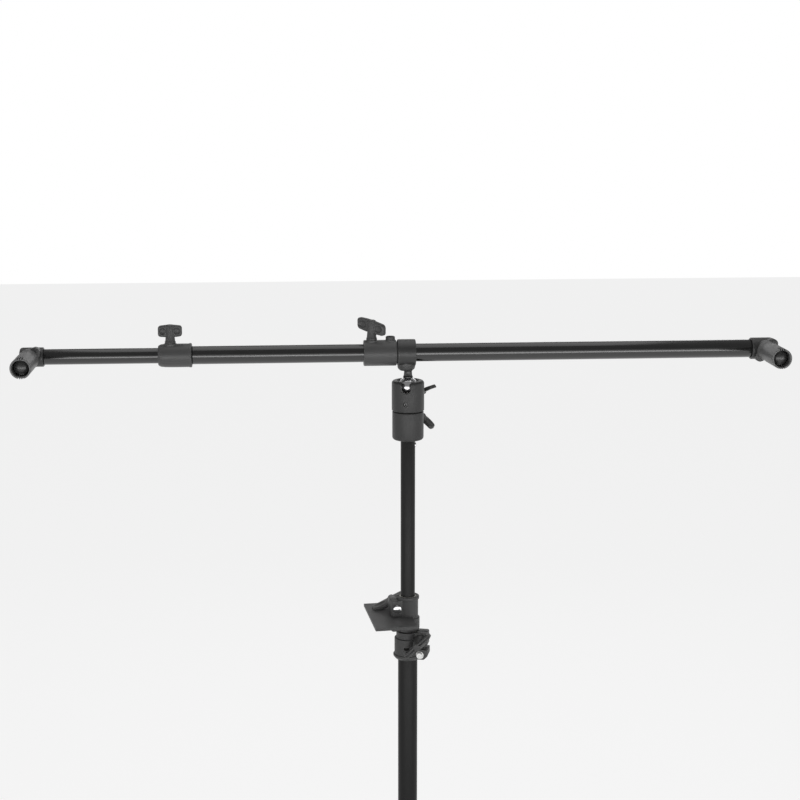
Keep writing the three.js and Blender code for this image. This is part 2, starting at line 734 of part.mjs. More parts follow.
/** The head with its two lock knobs, seat and grub screw, and the ball. */
function head() {
  const socketZ = HEAD_BASE_HEIGHT + HEAD_SEAM;
  const socket = piece("head_socket", headSocket(), HEAD_METAL);
  const seat = piece("ball_seat", ballSeat(), NYLON);
  const grub = piece("grub_screw", solid(pipe(3.2, 1.3, 0, 4.6, 12)), HEAD_METAL);
  const ball = piece("ball", solid(new THREE.SphereGeometry(BALL_RADIUS, 20, 14)), CHROME);
  ball.position.z = HEAD_SOCKET_HEIGHT - BALL_DEPTH;
  const grubPlace = place([grub], [0, FIT - HEAD_RADIUS + 5.4, 13], [QUARTER, 0, 0]);
  const upper = place([socket, seat, grubPlace, ball], [0, 0, socketZ]);
  const knobs = [
    ["stud_lock_knob", HEAD_BASE_KNOB_Z, -27, HEAD_NECK_RADIUS, STUD_RADIUS + 2 * FIT],
    ["ball_lock_knob", socketZ + HEAD_SOCKET_KNOB_Z, 35, HEAD_RADIUS, BALL_RADIUS + FIT],
  ].map(([name, z, tilt, seatRadius, screwEnd]) => {
    const shape = wingKnob({
      bossRadius: 8,
      bossHeight: 14,
      half: 25,
      bottom: 9,
      top: 25,
      thickness: 6.5,
      screw: seatRadius - screwEnd,
    });
    const knob = piece(name, shape, BLACK_PLASTIC);
    const away = place([knob], [seatRadius + FIT, 0, z], [QUARTER - THREE.MathUtils.degToRad(tilt), QUARTER, 0]);
    return place([away], [0, 0, 0], [0, 0, HEAD_KNOB_AZIMUTH]);
  });
  const base = piece("head_base", headBase(), HEAD_METAL);
  return place([base, upper, ...knobs], [0, 0, HEAD_Z], [0, 0, HEAD_TURN]);
}

const BALL_Z = HEAD_Z + HEAD_BASE_HEIGHT + HEAD_SEAM + HEAD_SOCKET_HEIGHT - BALL_DEPTH;
const BAR_Z = BALL_Z + BALL_TO_BAR;

// ---- Crossbar -----------------------------------------------------------------------------------

const RING_LEFT = SLEEVE_LEFT + SLEEVE_LENGTH + RING_GAP;
const RING_RIGHT = RING_LEFT + RING_LENGTH;
const CLIP_THICKNESS = 1.6;
const CLIP_REACH = 2.5;
const STEM_THREAD = 5;

/** The stem between ball and ring: a thread into the ring's boss and a foot hollowed to the ball. */
function ballStem() {
  const seat = -RING_BOSS_DROP - FIT;
  return fuse(
    [rod(STEM_RADIUS, -BALL_TO_BAR + BALL_RADIUS - 2, seat), rod(STEM_THREAD, seat - 1, -SLEEVE_NECK - 3)],
    [new THREE.SphereGeometry(BALL_RADIUS + FIT, 20, 14).translate(0, 0, -BALL_TO_BAR)],
  );
}

/** The ring that carries the sleeve, with its boss downwards; its bore runs along X. */
function boomRing() {
  const inner = SLEEVE_NECK + FIT;
  const middle = (RING_LEFT + RING_RIGHT) / 2;
  const along = (shape) => shape.rotateY(QUARTER);
  const edge = 1.6;
  const body = revolve([
    [0, RING_LEFT],
    [RING_RADIUS - edge, RING_LEFT],
    [RING_RADIUS, RING_LEFT + edge],
    [RING_RADIUS, RING_RIGHT - edge],
    [RING_RADIUS - edge, RING_RIGHT],
    [0, RING_RIGHT],
  ]);
  const boss = revolve([
    [0, -RING_BOSS_DROP],
    [RING_LENGTH / 2 - 3, -RING_BOSS_DROP],
    [RING_LENGTH / 2, 3 - RING_BOSS_DROP],
    [RING_LENGTH / 2, 0],
    [0, 0],
  ]).translate(middle, 0, 0);
  return fuse(
    [along(body), boss],
    [
      along(rod(inner, RING_LEFT - 1, RING_RIGHT + 1)),
      along(rod(inner + CLIP_REACH, RING_RIGHT - CLIP_THICKNESS - 2 * FIT, RING_RIGHT + 1)),
      rod(STEM_THREAD + FIT, -RING_BOSS_DROP - 1, 0, 16),
    ],
  );
}

/** The sleeve that clamps the boom, with its neck through the ring. */
function boomSleeve() {
  const shoulder = SLEEVE_LEFT + SLEEVE_LENGTH;
  const groove = RING_RIGHT - CLIP_THICKNESS - 2 * FIT;
  const body = revolve([
    [SLEEVE_BORE, SLEEVE_LEFT],
    [SLEEVE_RADIUS - 1.2, SLEEVE_LEFT],
    [SLEEVE_RADIUS, SLEEVE_LEFT + 1.2],
    [SLEEVE_RADIUS, shoulder],
    [SLEEVE_NECK, shoulder],
    [SLEEVE_NECK, groove],
    [SLEEVE_NECK - 1, groove],
    [SLEEVE_NECK - 1, RING_RIGHT],
    [SLEEVE_BORE, RING_RIGHT],
  ]).rotateY(QUARTER);
  const screwHole = rod(BOLT_RADIUS + FIT, 0, SLEEVE_RADIUS + 1, 12).translate(SLEEVE_KNOB_X, 0, 0);
  const lugHole = rod(BOLT_RADIUS, SLEEVE_RADIUS - 3, SLEEVE_RADIUS + 1, 12).translate(SLEEVE_SCREW_X, 0, 0);
  return fuse([body], [screwHole, lugHole]);
}

const SLEEVE_KNOB_X = SLEEVE_LEFT + 12.3;
const SLEEVE_SCREW_X = SLEEVE_LEFT + 40.2;

/** The collar at the boom's left end that clamps the inner tube. */
function extensionCollar() {
  const left = EXTENSION_COLLAR_LEFT;
  const right = left + EXTENSION_COLLAR_LENGTH;
  const seat = BOOM_LEFT_END - FIT;
  const outer = EXTENSION_COLLAR_RADIUS;
  const body = revolve([
    [INNER_RADIUS + FIT, left],
    [outer - 2.4, left],
    [outer - 0.6, left + 9],
    [outer, left + 22],
    [outer, right],
    [BOOM_RADIUS + FIT, right],
    [BOOM_RADIUS + FIT, seat],
    [INNER_RADIUS + FIT, seat],
  ]).rotateY(QUARTER);
  const hole = rod(BOLT_RADIUS + FIT, 0, outer + 1, 12).translate(EXTENSION_KNOB_X, 0, 0);
  return fuse([body], [hole]);
}

const EXTENSION_KNOB_X = EXTENSION_COLLAR_LEFT + 18;

/** Everything between the ball and the two grips. */
function crossbar() {
  const innerRight = INNER_LEFT_END + INNER_LENGTH;
  const alongX = (shape) => place([shape], [0, 0, 0], [0, QUARTER, 0]);
  const stem = piece("ball_stem", ballStem(), HEAD_METAL);
  const ring = piece("boom_ring", boomRing(), BLACK_PLASTIC);
  const sleeve = piece("boom_sleeve", boomSleeve(), BLACK_PLASTIC);
  const clip = piece(
    "ring_clip",
    solid(
      pipe(
        SLEEVE_NECK + CLIP_REACH,
        SLEEVE_NECK - 1 + FIT,
        RING_RIGHT - CLIP_THICKNESS - FIT,
        RING_RIGHT - FIT,
      ),
    ),
    ZINC,
  );
  const outerTube = piece(
    "boom_outer_tube",
    solid(pipe(BOOM_RADIUS, BOOM_RADIUS - TUBE_WALL, BOOM_LEFT_END, BOOM_RIGHT_END)),
    TUBE_PAINT,
  );
  const innerTube = piece(
    "boom_inner_tube",
    solid(pipe(INNER_RADIUS, INNER_RADIUS - TUBE_WALL, INNER_LEFT_END, innerRight)),
    TUBE_PAINT,
  );
  const guide = piece(
    "inner_tube_bush",
    endBush(INNER_RADIUS, BOOM_RADIUS - TUBE_WALL),
    NYLON,
  );
  const guidePlace = place([guide], [innerRight + FIT, 0, 0], [0, -QUARTER, 0]);
  const collar = piece("extension_collar", extensionCollar(), BLACK_PLASTIC);
  const extensionKnob = piece(
    "extension_knob",
    wingKnob({
      bossRadius: 8,
      bossHeight: 12,
      half: 17.5,
      bottom: 9.5,
      top: 27.5,
      thickness: 9,
      screw: EXTENSION_COLLAR_RADIUS - INNER_RADIUS - FIT,
    }),
    BLACK_PLASTIC,
  );
  const sleeveKnob = piece(
    "sleeve_knob",
    wingKnob({
      bossRadius: 8,
      bossHeight: 13,
      half: 22,
      bottom: 11,
      top: 30,
      thickness: 9,
      skew: 5,
      screw: SLEEVE_RADIUS - BOOM_RADIUS - FIT,
    }),
    BLACK_PLASTIC,
  );
  const screw = piece(
    "sleeve_screw",
    bolt({ headRadius: 7, headHeight: 5.4, sides: 16, shank: 2.5, radius: BOLT_RADIUS - FIT }),
    CHROME,
  );
  extensionKnob.position.set(EXTENSION_KNOB_X, 0, EXTENSION_COLLAR_RADIUS + FIT);
  sleeveKnob.position.set(SLEEVE_KNOB_X, 0, SLEEVE_RADIUS + FIT);
  sleeveKnob.rotation.z = THREE.MathUtils.degToRad(-38);
  screw.position.set(SLEEVE_SCREW_X, 0, SLEEVE_RADIUS + FIT);
  return [
    stem,
    ring,
    alongX(clip),
    sleeve,
    alongX(outerTube),
    alongX(innerTube),
    guidePlace,
    collar,
    extensionKnob,
    sleeveKnob,
    screw,
  ];
}

// ---- Spring grips -------------------------------------------------------------------------------

const PIVOT_HEAD_RADIUS = 5.5;
const PIVOT_HEAD_HEIGHT = 3.4;

/** A grip's barrel on +Z: floor with a pivot hole, open mouth with a notch across it. */
function gripBarrel() {
  const inner = GRIP_RADIUS - GRIP_WALL;
  const floorTop = GRIP_FLOOR + GRIP_FLOOR_THICKNESS;
  const body = revolve([
    [BOLT_RADIUS + FIT, GRIP_FLOOR],
    [GRIP_RADIUS, GRIP_FLOOR],
    [GRIP_RADIUS, GRIP_FLOOR + 5],
    [GRIP_RADIUS - 0.9, GRIP_FLOOR + 11],
    [GRIP_RADIUS - 0.9, GRIP_FLOOR + 18],
    [GRIP_RADIUS, GRIP_FLOOR + 24],
    [GRIP_RADIUS, GRIP_MOUTH],
    [inner, GRIP_MOUTH],
    [inner, floorTop],
    [BOLT_RADIUS + FIT, floorTop],
  ]);
  const half = GRIP_NOTCH_WIDTH / 2;
  const notch = block(
    [-half, -GRIP_RADIUS - 1, GRIP_MOUTH - GRIP_NOTCH_DEPTH],
    [half, GRIP_RADIUS + 1, GRIP_MOUTH + 1],
  );
  return fuse([body], [notch]);
}

/** The domed plunger that the spring pushes to the mouth. */
function gripPlunger() {
  const radius = GRIP_RADIUS - GRIP_WALL - FIT;
  const side = PLUNGER_CROWN - 6; // height where the dome starts
  const rise = PLUNGER_CROWN - side;
  const dome = [];
  for (let i = 1; i <= 5; i += 1) {
    const angle = (QUARTER * i) / 5;
    dome.push([radius * Math.cos(angle), side + rise * Math.sin(angle)]);
  }
  dome.at(-1)[0] = 0;
  return solid(revolve([[0, PLUNGER_BACK], [radius, PLUNGER_BACK], [radius, side], ...dome]));
}

/** The coil spring behind the plunger, standing on the barrel's floor round the pivot's head. */
function gripSpring() {
  const wire = SPRING_WIRE / 2;
  const low = GRIP_FLOOR + GRIP_FLOOR_THICKNESS + FIT + wire;
  const high = PLUNGER_BACK - FIT - wire;
  class Helix extends THREE.Curve {
    getPoint(t, target = new THREE.Vector3()) {
      const angle = 2 * Math.PI * SPRING_TURNS * t;
      const height = low + (high - low) * t;
      return target.set(SPRING_RADIUS * Math.cos(angle), SPRING_RADIUS * Math.sin(angle), height);
    }
  }
  const section = new THREE.Shape().absarc(0, 0, wire, 0, 2 * Math.PI, false);
  const steps = 10 * SPRING_TURNS;
  return solid(
    new THREE.ExtrudeGeometry(section, { extrudePath: new Helix(), steps, curveSegments: 3 }),
  );
}

/** An end cap on +Z whose open side takes a tube, closed at z = 0, with a cross hole for the pivot. */
function endCap(tubeRadius) {
  const radius = tubeRadius + CAP_WALL;
  const bore = tubeRadius + FIT;
  const body = revolve([
    [0, 0],
    [radius - 3, 0],
    [radius - 0.8, 1.2],
    [radius, 4],
    [radius, CAP_SOLID + CAP_SOCKET],
    [bore, CAP_SOLID + CAP_SOCKET],
    [bore, CAP_SOLID],
    [0, CAP_SOLID],
  ]);
  return body;
}

/** A rounded lozenge base on +Z between the end cap and the barrel, saddled on the cap. */
function gripFlange(capRadius, capAlongX) {
  const top = GRIP_FLOOR - FIT;
  const lobes = [
    ...arc(13, 0, 8, -QUARTER * 0.75, QUARTER * 0.75, 6),
    ...arc(0, 9, 9, QUARTER * 0.6, QUARTER * 1.4, 4),
    ...arc(-13, 0, 8, QUARTER * 1.25, QUARTER * 2.75, 6),
    ...arc(0, -9, 9, QUARTER * 2.6, QUARTER * 3.4, 4),
  ];
  const shape = new THREE.Shape(lobes.map(([x, y]) => new THREE.Vector2(x, y)));
  const plate = new THREE.ExtrudeGeometry(shape, { depth: top - 8, bevelEnabled: false })
    .translate(0, 0, 8)
    .rotateZ(FLANGE_TURN);
  return fuse([plate], [capAlongX, rod(BOLT_RADIUS + FIT, 0, top + 1, 12)]);
}

const FLANGE_TURN = THREE.MathUtils.degToRad(45);

/** One end of the crossbar: cap, flange, barrel, plunger, spring and pivot screw. side is -1 or 1. */
function gripEnd(name, side, tubeEnd, tubeRadius) {
  const outerEnd = tubeEnd + side * (CAP_SOLID + FIT);
  const pivotX = outerEnd - side * PIVOT_INSET;
  const capRadius = tubeRadius + CAP_WALL;
  const pivotEnd = capRadius - 9; // where the pivot screw ends, from the crossbar's axis
  const cap = piece(
    `${name}_end_cap`,
    fuse(
      [endCap(tubeRadius).rotateY(-side * QUARTER)],
      [
        rod(BOLT_RADIUS + FIT, pivotEnd - FIT, capRadius + 1, 12)
          .rotateX(QUARTER)
          .translate(pivotX - outerEnd, 0, 0),
      ],
    ),
    BLACK_PLASTIC,
  );
  cap.position.x = outerEnd;
  const capCutter = rod(capRadius + FIT, -60, 60).rotateY(QUARTER);
  const flange = piece(`${name}_grip_flange`, gripFlange(capRadius, capCutter), GREY_PLASTIC);
  const barrel = piece(`${name}_grip_barrel`, gripBarrel(), GREY_PLASTIC);
  const plunger = piece(`${name}_grip_plunger`, gripPlunger(), BLACK_PLASTIC);
  const spring = piece(`${name}_grip_spring`, gripSpring(), ZINC);
  const headSeat = GRIP_FLOOR + GRIP_FLOOR_THICKNESS + FIT;
  const pivot = piece(
    `${name}_grip_pivot`,
    bolt({
      headRadius: PIVOT_HEAD_RADIUS,
      headHeight: PIVOT_HEAD_HEIGHT,
      sides: 14,
      shank: headSeat - pivotEnd,
    }),
    ZINC,
  );
  pivot.position.z = headSeat;
  const outwards = place([flange, barrel, plunger, spring, pivot], [pivotX, 0, 0], [QUARTER, 0, 0]);
  return [cap, outwards];
}

// ---- Assembly -----------------------------------------------------------------------------------

const stand = new THREE.Group();
stand.add(
  ...base(),
  ...column(),
  stud(),
  head(),
  place(
    [
      ...crossbar(),
      ...gripEnd("left", -1, INNER_LEFT_END, INNER_RADIUS),
      ...gripEnd("right", 1, BOOM_RIGHT_END, BOOM_RADIUS),
    ],
    [0, 0, BAR_Z],
  ),
);

export default stand;
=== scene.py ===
"""A studio stand that holds a reflector: legs, telescoping column, ball head and crossbar with two grips.

Sizes are in millimetres in the classes, and a piece becomes metres when it is made.
"""

import logging
import math
from collections.abc import Sequence
from dataclasses import dataclass, field
from enum import Enum

import bmesh
import bpy
from mathutils import Matrix, Vector


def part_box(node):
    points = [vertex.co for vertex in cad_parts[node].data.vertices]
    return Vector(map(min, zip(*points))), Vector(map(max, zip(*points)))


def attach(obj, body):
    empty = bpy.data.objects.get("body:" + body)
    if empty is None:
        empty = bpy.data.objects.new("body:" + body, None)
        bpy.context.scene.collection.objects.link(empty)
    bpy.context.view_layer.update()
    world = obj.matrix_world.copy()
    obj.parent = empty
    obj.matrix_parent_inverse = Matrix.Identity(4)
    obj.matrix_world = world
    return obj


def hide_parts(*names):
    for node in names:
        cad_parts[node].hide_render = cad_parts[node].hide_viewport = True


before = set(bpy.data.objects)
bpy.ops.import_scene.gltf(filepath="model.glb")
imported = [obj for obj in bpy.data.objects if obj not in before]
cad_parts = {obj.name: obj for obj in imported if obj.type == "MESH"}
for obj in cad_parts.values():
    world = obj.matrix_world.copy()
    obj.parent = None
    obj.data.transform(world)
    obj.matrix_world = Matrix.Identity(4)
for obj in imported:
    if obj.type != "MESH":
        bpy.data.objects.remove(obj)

LOG = logging.getLogger("reflector_stand")
MM = 0.001
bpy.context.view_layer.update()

Outline = Sequence[tuple[float, float]]
Colour = tuple[float, float, float]
Point = tuple[float, float, float]


# ---- Places -------------------------------------------------------------------------------------


def low(node: str) -> Vector:
    """Return the lowest corner of a CAD node, in millimetres."""
    return Vector(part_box(node)[0]) / MM


def high(node: str) -> Vector:
    """Return the highest corner of a CAD node, in millimetres."""
    return Vector(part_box(node)[1]) / MM


def middle(node: str) -> Vector:
    """Return the middle of a CAD node's box, in millimetres."""
    return (low(node) + high(node)) / 2


def move(x: float = 0, y: float = 0, z: float = 0) -> Matrix:
    """Return a matrix that moves by x, y and z."""
    return Matrix.Translation((x, y, z))


def turn(axis: str, degrees: float) -> Matrix:
    """Return a matrix that turns about an axis by an angle in degrees."""
    return Matrix.Rotation(math.radians(degrees), 4, axis)


ALONG_X = turn("Y", 90)
"""Lays a piece that was turned about Z along X."""


# ---- Shapes -------------------------------------------------------------------------------------


class Combine(Enum):
    """How one shape acts on another."""

    JOIN = "UNION"
    CUT = "DIFFERENCE"
    KEEP = "INTERSECT"


class Shape:
    """A closed mesh in the making, in millimetres."""

    def __init__(self, mesh: bmesh.types.BMesh | None = None) -> None:
        """Start from an empty mesh or take one over.

        Args:
            mesh: The mesh to take over, if there is one.
        """
        self.mesh = mesh or bmesh.new()

    @classmethod
    def turned(cls, outline: Outline, segments: int = 96, sweep: float = 360) -> "Shape":
        """Turn an outline of (radius, height) about Z, as on a lathe.

        Args:
            outline: Corners of the section; it closes itself unless it starts and ends on the axis.
            segments: Steps in the sweep.
            sweep: Angle in degrees; less than a full turn gets flat ends.

        Returns:
            The turned shape.
        """
        shape = cls()
        corners = [shape.mesh.verts.new((r, 0, h)) for r, h in outline]
        on_axis = outline[0][0] == 0 and outline[-1][0] == 0
        ring = corners if on_axis else [*corners, corners[0]]
        edges = [shape.mesh.edges.new(pair) for pair in zip(ring, ring[1:])]
        whole = sweep >= 360
        bmesh.ops.spin(
            shape.mesh,
            geom=[*corners, *edges],
            cent=(0, 0, 0),
            axis=(0, 0, 1),
            angle=math.radians(sweep),
            steps=segments,
            use_merge=whole,
        )
        if not whole:
            bmesh.ops.holes_fill(shape.mesh, edges=shape.mesh.edges[:], sides=0)
        return shape.cleaned()

    @classmethod
    def slab(cls, outline: Outline, depth: float, corner: float = 0, edge: float = 0) -> "Shape":
        """Make a plate in the XY plane that stands from z = 0 to z = depth.

        Args:
            outline: Corners in order.
            depth: Thickness.
            corner: Rounding of the outline's corners.
            edge: Rounding of the rims.

        Returns:
            The plate.
        """
        shape = cls()
        mesh = shape.mesh
        mesh.faces.new([mesh.verts.new((x, y, 0)) for x, y in outline])
        if corner > 0:
            bmesh.ops.bevel(
                mesh,
                geom=mesh.verts[:],
                offset=corner,
                affect="VERTICES",
                segments=6,
                profile=0.5,
                material=-1,
                clamp_overlap=True,
            )
            bmesh.ops.remove_doubles(mesh, verts=mesh.verts[:], dist=1e-3)
        grown = bmesh.ops.extrude_face_region(mesh, geom=mesh.faces[:])
        lifted = [v for v in grown["geom"] if isinstance(v, bmesh.types.BMVert)]
        bmesh.ops.translate(mesh, verts=lifted, vec=(0, 0, depth))
        bmesh.ops.recalc_face_normals(mesh, faces=mesh.faces[:])
        return shape.softened(edge, angle=60) if edge > 0 else shape

    @classmethod
    def block(cls, size: Point, centre: Point = (0, 0, 0), edge: float = 0) -> "Shape":
        """Make a block with rounded edges.

        Args:
            size: Full width, depth and height.
            centre: Middle of the block.
            edge: Rounding of its edges.

        Returns:
            The block.
        """
        shape = cls()
        bmesh.ops.create_cube(shape.mesh, size=1)
        shape.placed(move(*centre) @ Matrix.Diagonal((*size, 1)))
        return shape.softened(edge) if edge > 0 else shape

    @classmethod
    def ball(cls, radius: float, centre: Point = (0, 0, 0), segments: int = 64) -> "Shape":
        """Make a ball.

        Args:
            radius: Its radius.
            centre: Its middle.
            segments: Steps round it.

        Returns:
            The ball.
        """
        shape = cls()
        bmesh.ops.create_uvsphere(shape.mesh, u_segments=segments, v_segments=segments // 2, radius=radius)
        return shape.placed(move(*centre))

    @classmethod
    def rod(cls, radius: float, start: float, end: float, segments: int = 64) -> "Shape":
        """Make a plain rod on Z, mostly as a tool for holes.

        Args:
            radius: Its radius.
            start: Its lower end.
            end: Its upper end.
            segments: Steps round it.

        Returns:
            The rod.
        """
        shape = cls()
        bmesh.ops.create_cone(
            shape.mesh,
            cap_ends=True,
            segments=segments,
            radius1=radius,
            radius2=radius,
            depth=end - start,
        )
        return shape.placed(move(0, 0, (start + end) / 2))

    @classmethod
    def bent_rod(cls, radius: float, runs: Sequence[tuple[float, float, float]]) -> "Shape":
        """Bend a round tube in the XZ plane from the origin, starting towards +X.

        Args:
            radius: Outside radius.
            runs: Straight length, then the bend's radius and its angle in degrees, downwards positive.

        Returns:
            The tube with closed ends.
        """
        shape = cls()
        mesh = shape.mesh
        ring = bmesh.ops.create_circle(mesh, cap_ends=False, segments=48, radius=radius)["verts"]
        bmesh.ops.rotate(mesh, verts=ring, cent=(0, 0, 0), matrix=Matrix.Rotation(math.pi / 2, 3, "Y"))
        edges = mesh.edges[:]
        place, heading = Vector((0, 0, 0)), 0.0
        for length, bend_radius, angle in runs:
            ahead = Vector((math.cos(heading), 0, -math.sin(heading)))
            step = bmesh.ops.extrude_edge_only(mesh, edges=edges)["geom"]
            front = [v for v in step if isinstance(v, bmesh.types.BMVert)]
            bmesh.ops.translate(mesh, verts=front, vec=ahead * length)
            edges = [e for e in step if isinstance(e, bmesh.types.BMEdge)]
            edges = [e for e in edges if all(v in front for v in e.verts)]
            place = place + ahead * length
            if angle:
                side = math.copysign(1, angle)
                inwards = Vector((-math.sin(heading), 0, -math.cos(heading))) * side
                centre = place + inwards * bend_radius
                spun = bmesh.ops.spin(
                    mesh,
                    geom=[*front, *edges],
                    cent=centre,
                    axis=(0, 1, 0),
                    angle=math.radians(angle),
                    steps=max(4, int(abs(angle) / 4)),
                    use_merge=False,
                )["geom_last"]
                front = [v for v in spun if isinstance(v, bmesh.types.BMVert)]
                edges = [e for e in spun if isinstance(e, bmesh.types.BMEdge)]
                heading += math.radians(angle)
                outwards = Vector((math.sin(heading), 0, math.cos(heading))) * side
                place = centre + outwards * bend_radius
        bmesh.ops.holes_fill(mesh, edges=mesh.edges[:], sides=0)
        return shape.cleaned()

    def cleaned(self) -> "Shape":
        """Merge doubled corners and turn every face outwards."""
        bmesh.ops.remove_doubles(self.mesh, verts=self.mesh.verts[:], dist=1e-3)
        bmesh.ops.dissolve_degenerate(self.mesh, edges=self.mesh.edges[:], dist=1e-4)
        bmesh.ops.recalc_face_normals(self.mesh, faces=self.mesh.faces[:])
        return self

    def placed(self, matrix: Matrix) -> "Shape":
        """Move, turn or stretch the shape by a matrix."""
        bmesh.ops.transform(self.mesh, matrix=matrix, space=Matrix.Identity(4), verts=self.mesh.verts[:])
        return self

    def softened(self, width: float, segments: int = 3, angle: float = 28) -> "Shape":
        """Round every sharp edge.

        Args:
            width: Width of the rounding.
            segments: Steps across it.
            angle: Edges sharper than this are rounded, in degrees.

        Returns:
            The same shape.
        """
        limit = math.radians(angle)
        sharp = [e for e in self.mesh.edges if len(e.link_faces) == 2 and e.calc_face_angle(0) > limit]
        bmesh.ops.bevel(
            self.mesh,
            geom=sharp,
            offset=width,
            affect="EDGES",
            segments=segments,
            profile=0.5,
            material=-1,
            clamp_overlap=True,
        )
        return self

    def curled(self, half: float, depth: float) -> "Shape":
        """Curl the two halves of a blade in the XZ plane, one towards +Y and one towards -Y.

        Args:
            half: Half the blade's length along X.
            depth: How far each tip moves.

        Returns:
            The same shape.
        """
        for corner in self.mesh.verts:
            share = corner.co.x / half
            corner.co.y += depth * share * abs(share)
        return self

    def stationed(self, at: Sequence[float]) -> "Shape":
        """Cut rows of corners across the shape at each x, so that it can curl."""
        for x in at:
            bmesh.ops.bisect_plane(
                self.mesh,
                geom=[*self.mesh.verts, *self.mesh.edges, *self.mesh.faces],
                plane_co=(x, 0, 0),
                plane_no=(1, 0, 0),
            )
        return self

    def sliced(self, point: Point, normal: Point) -> "Shape":
        """Cut away what lies beyond a plane and close the cut."""
        bmesh.ops.bisect_plane(
            self.mesh,
            geom=[*self.mesh.verts, *self.mesh.edges, *self.mesh.faces],
            plane_co=point,
            plane_no=normal,
            clear_outer=True,
        )
        bmesh.ops.holes_fill(self.mesh, edges=self.mesh.edges[:], sides=0)
        return self.cleaned()

    def combined(self, how: Combine, *tools: "Shape") -> "Shape":
        """Join, cut or keep the shape with others.

        Args:
            how: What the others do.
            tools: The other shapes, which are used up.

        Returns:
            The same shape, changed.
        """
        body = self._helper("body")
        others = [tool._helper("tool") for tool in tools]
        for other in others:
            modifier = body.modifiers.new("combine", "BOOLEAN")
            modifier.operation = how.value
            modifier.solver = "EXACT"
            modifier.object = other
        graph = bpy.context.evaluated_depsgraph_get()
        made = bpy.data.meshes.new_from_object(body.evaluated_get(graph))
        self.mesh.clear()
        self.mesh.from_mesh(made)
        bpy.data.meshes.remove(made)
        for helper in [body, *others]:
            data = helper.data
            bpy.data.objects.remove(helper)
            bpy.data.meshes.remove(data)
        for tool in tools:
            tool.mesh.free()
        bmesh.ops.remove_doubles(self.mesh, verts=self.mesh.verts[:], dist=2e-3)
        bmesh.ops.dissolve_degenerate(self.mesh, edges=self.mesh.edges[:], dist=1e-3)
        return self

    def with_(self, *tools: "Shape") -> "Shape":
        """Join other shapes to this one."""
        return self.combined(Combine.JOIN, *tools)

    def without(self, *tools: "Shape") -> "Shape":
        """Cut other shapes out of this one."""
        return self.combined(Combine.CUT, *tools)

    def _helper(self, name: str) -> bpy.types.Object:
        """Return a helper object in the scene that holds a copy of the mesh."""
        data = bpy.data.meshes.new(name)
        self.mesh.to_mesh(data)
        helper = bpy.data.objects.new(name, data)
        bpy.context.scene.collection.objects.link(helper)
        return helper


# ---- Finishes -----------------------------------------------------------------------------------


def grey(level: float, warmth: float = 0.0) -> Colour:
    """Return a linear colour for a display grey from 0 to 255, a little warm or cool.

    Args:
        level: Display level.
        warmth: Share added to red and taken from blue.

    Returns:
        The linear colour.
    """
    value = level / 255
    linear = value / 12.92 if value <= 0.04045 else ((value + 0.055) / 1.055) ** 2.4
    return (linear * (1 + warmth), linear, linear * (1 - warmth))


class Wiring:
    """Adds and joins the nodes of one tree."""

    def __init__(self, tree: bpy.types.NodeTree) -> None:
        """Take the tree to work in."""
        self.tree = tree

    def add(self, kind: str, settings: dict | None = None, **sockets: object) -> bpy.types.Node:
        """Add a node.

        Args:
            kind: The node's type name.
            settings: Its own properties.
            sockets: Values or outputs for its inputs, by name or by in0, in1 and so on.

        Returns:
            The node.
        """
        node = self.tree.nodes.new(kind)
        for name, value in (settings or {}).items():
            setattr(node, name, value)
        for name, value in sockets.items():
            number = name[2:]
            key = int(number) if name.startswith("in") and number.isdigit() else name.replace("_", " ")
            socket = node.inputs[key]
            if isinstance(value, bpy.types.NodeSocket):
                self.tree.links.new(value, socket)
            else:
                socket.default_value = value
        return node

    def math(self, operation: str, first: object, second: object = 0.0, clamp: bool = False) -> bpy.types.NodeSocket:
        """Return the output of a Math node on two values or outputs."""
        settings = {"operation": operation, "use_clamp": clamp}
        return self.add("ShaderNodeMath", settings, in0=first, in1=second).outputs[0]

    def blend(self, share: object, first: object, second: object) -> bpy.types.NodeSocket:
        """Return the output of a colour Mix node, from first to second by share."""
        mix = self.add("ShaderNodeMix", {"data_type": "RGBA", "clamp_factor": True})
        for index, value in ((0, share), (6, first), (7, second)):
            if isinstance(value, bpy.types.NodeSocket):
                self.tree.links.new(value, mix.inputs[index])
            else:
                mix.inputs[index].default_value = value
        return mix.outputs[2]


class Effect(Enum):
    """The shared surface effects, each a node group."""

    EDGE_WEAR_AND_HIGHLIGHT = "edge wear"
    FINE_GRAIN = "fine grain"
    DUST = "settled dust"
    TOOL_LINES = "tool lines"

    def group(self) -> bpy.types.NodeTree:
        """Return the effect's node group, made on first use."""
        made = bpy.data.node_groups.get(self.value)
        if made is not None:
            return made
        makers = {
            Effect.EDGE_WEAR_AND_HIGHLIGHT: _edge_wear_and_highlight,
            Effect.FINE_GRAIN: _fine_grain,
            Effect.DUST: _settled_dust,
            Effect.TOOL_LINES: _tool_lines,
        }
        return makers[self](self.value)


def _group(name: str, inputs: Sequence[tuple[str, str, float | None]], outputs: Sequence[str]) -> tuple:
    """Start a node group.

    Args:
        name: Its name.
        inputs: Name, socket type and first value of each input.
        outputs: Names of its value outputs.

    Returns:
        The tree, its wiring, its input node and its output node.
    """
    tree = bpy.data.node_groups.new(name, "ShaderNodeTree")
    for label, kind, value in inputs:
        socket = tree.interface.new_socket(name=label, in_out="INPUT", socket_type=kind)
        if value is not None:
            socket.default_value = value
    for label in outputs:
        tree.interface.new_socket(name=label, in_out="OUTPUT", socket_type="NodeSocketFloat")
    wiring = Wiring(tree)
    return tree, wiring, wiring.add("NodeGroupInput"), wiring.add("NodeGroupOutput")


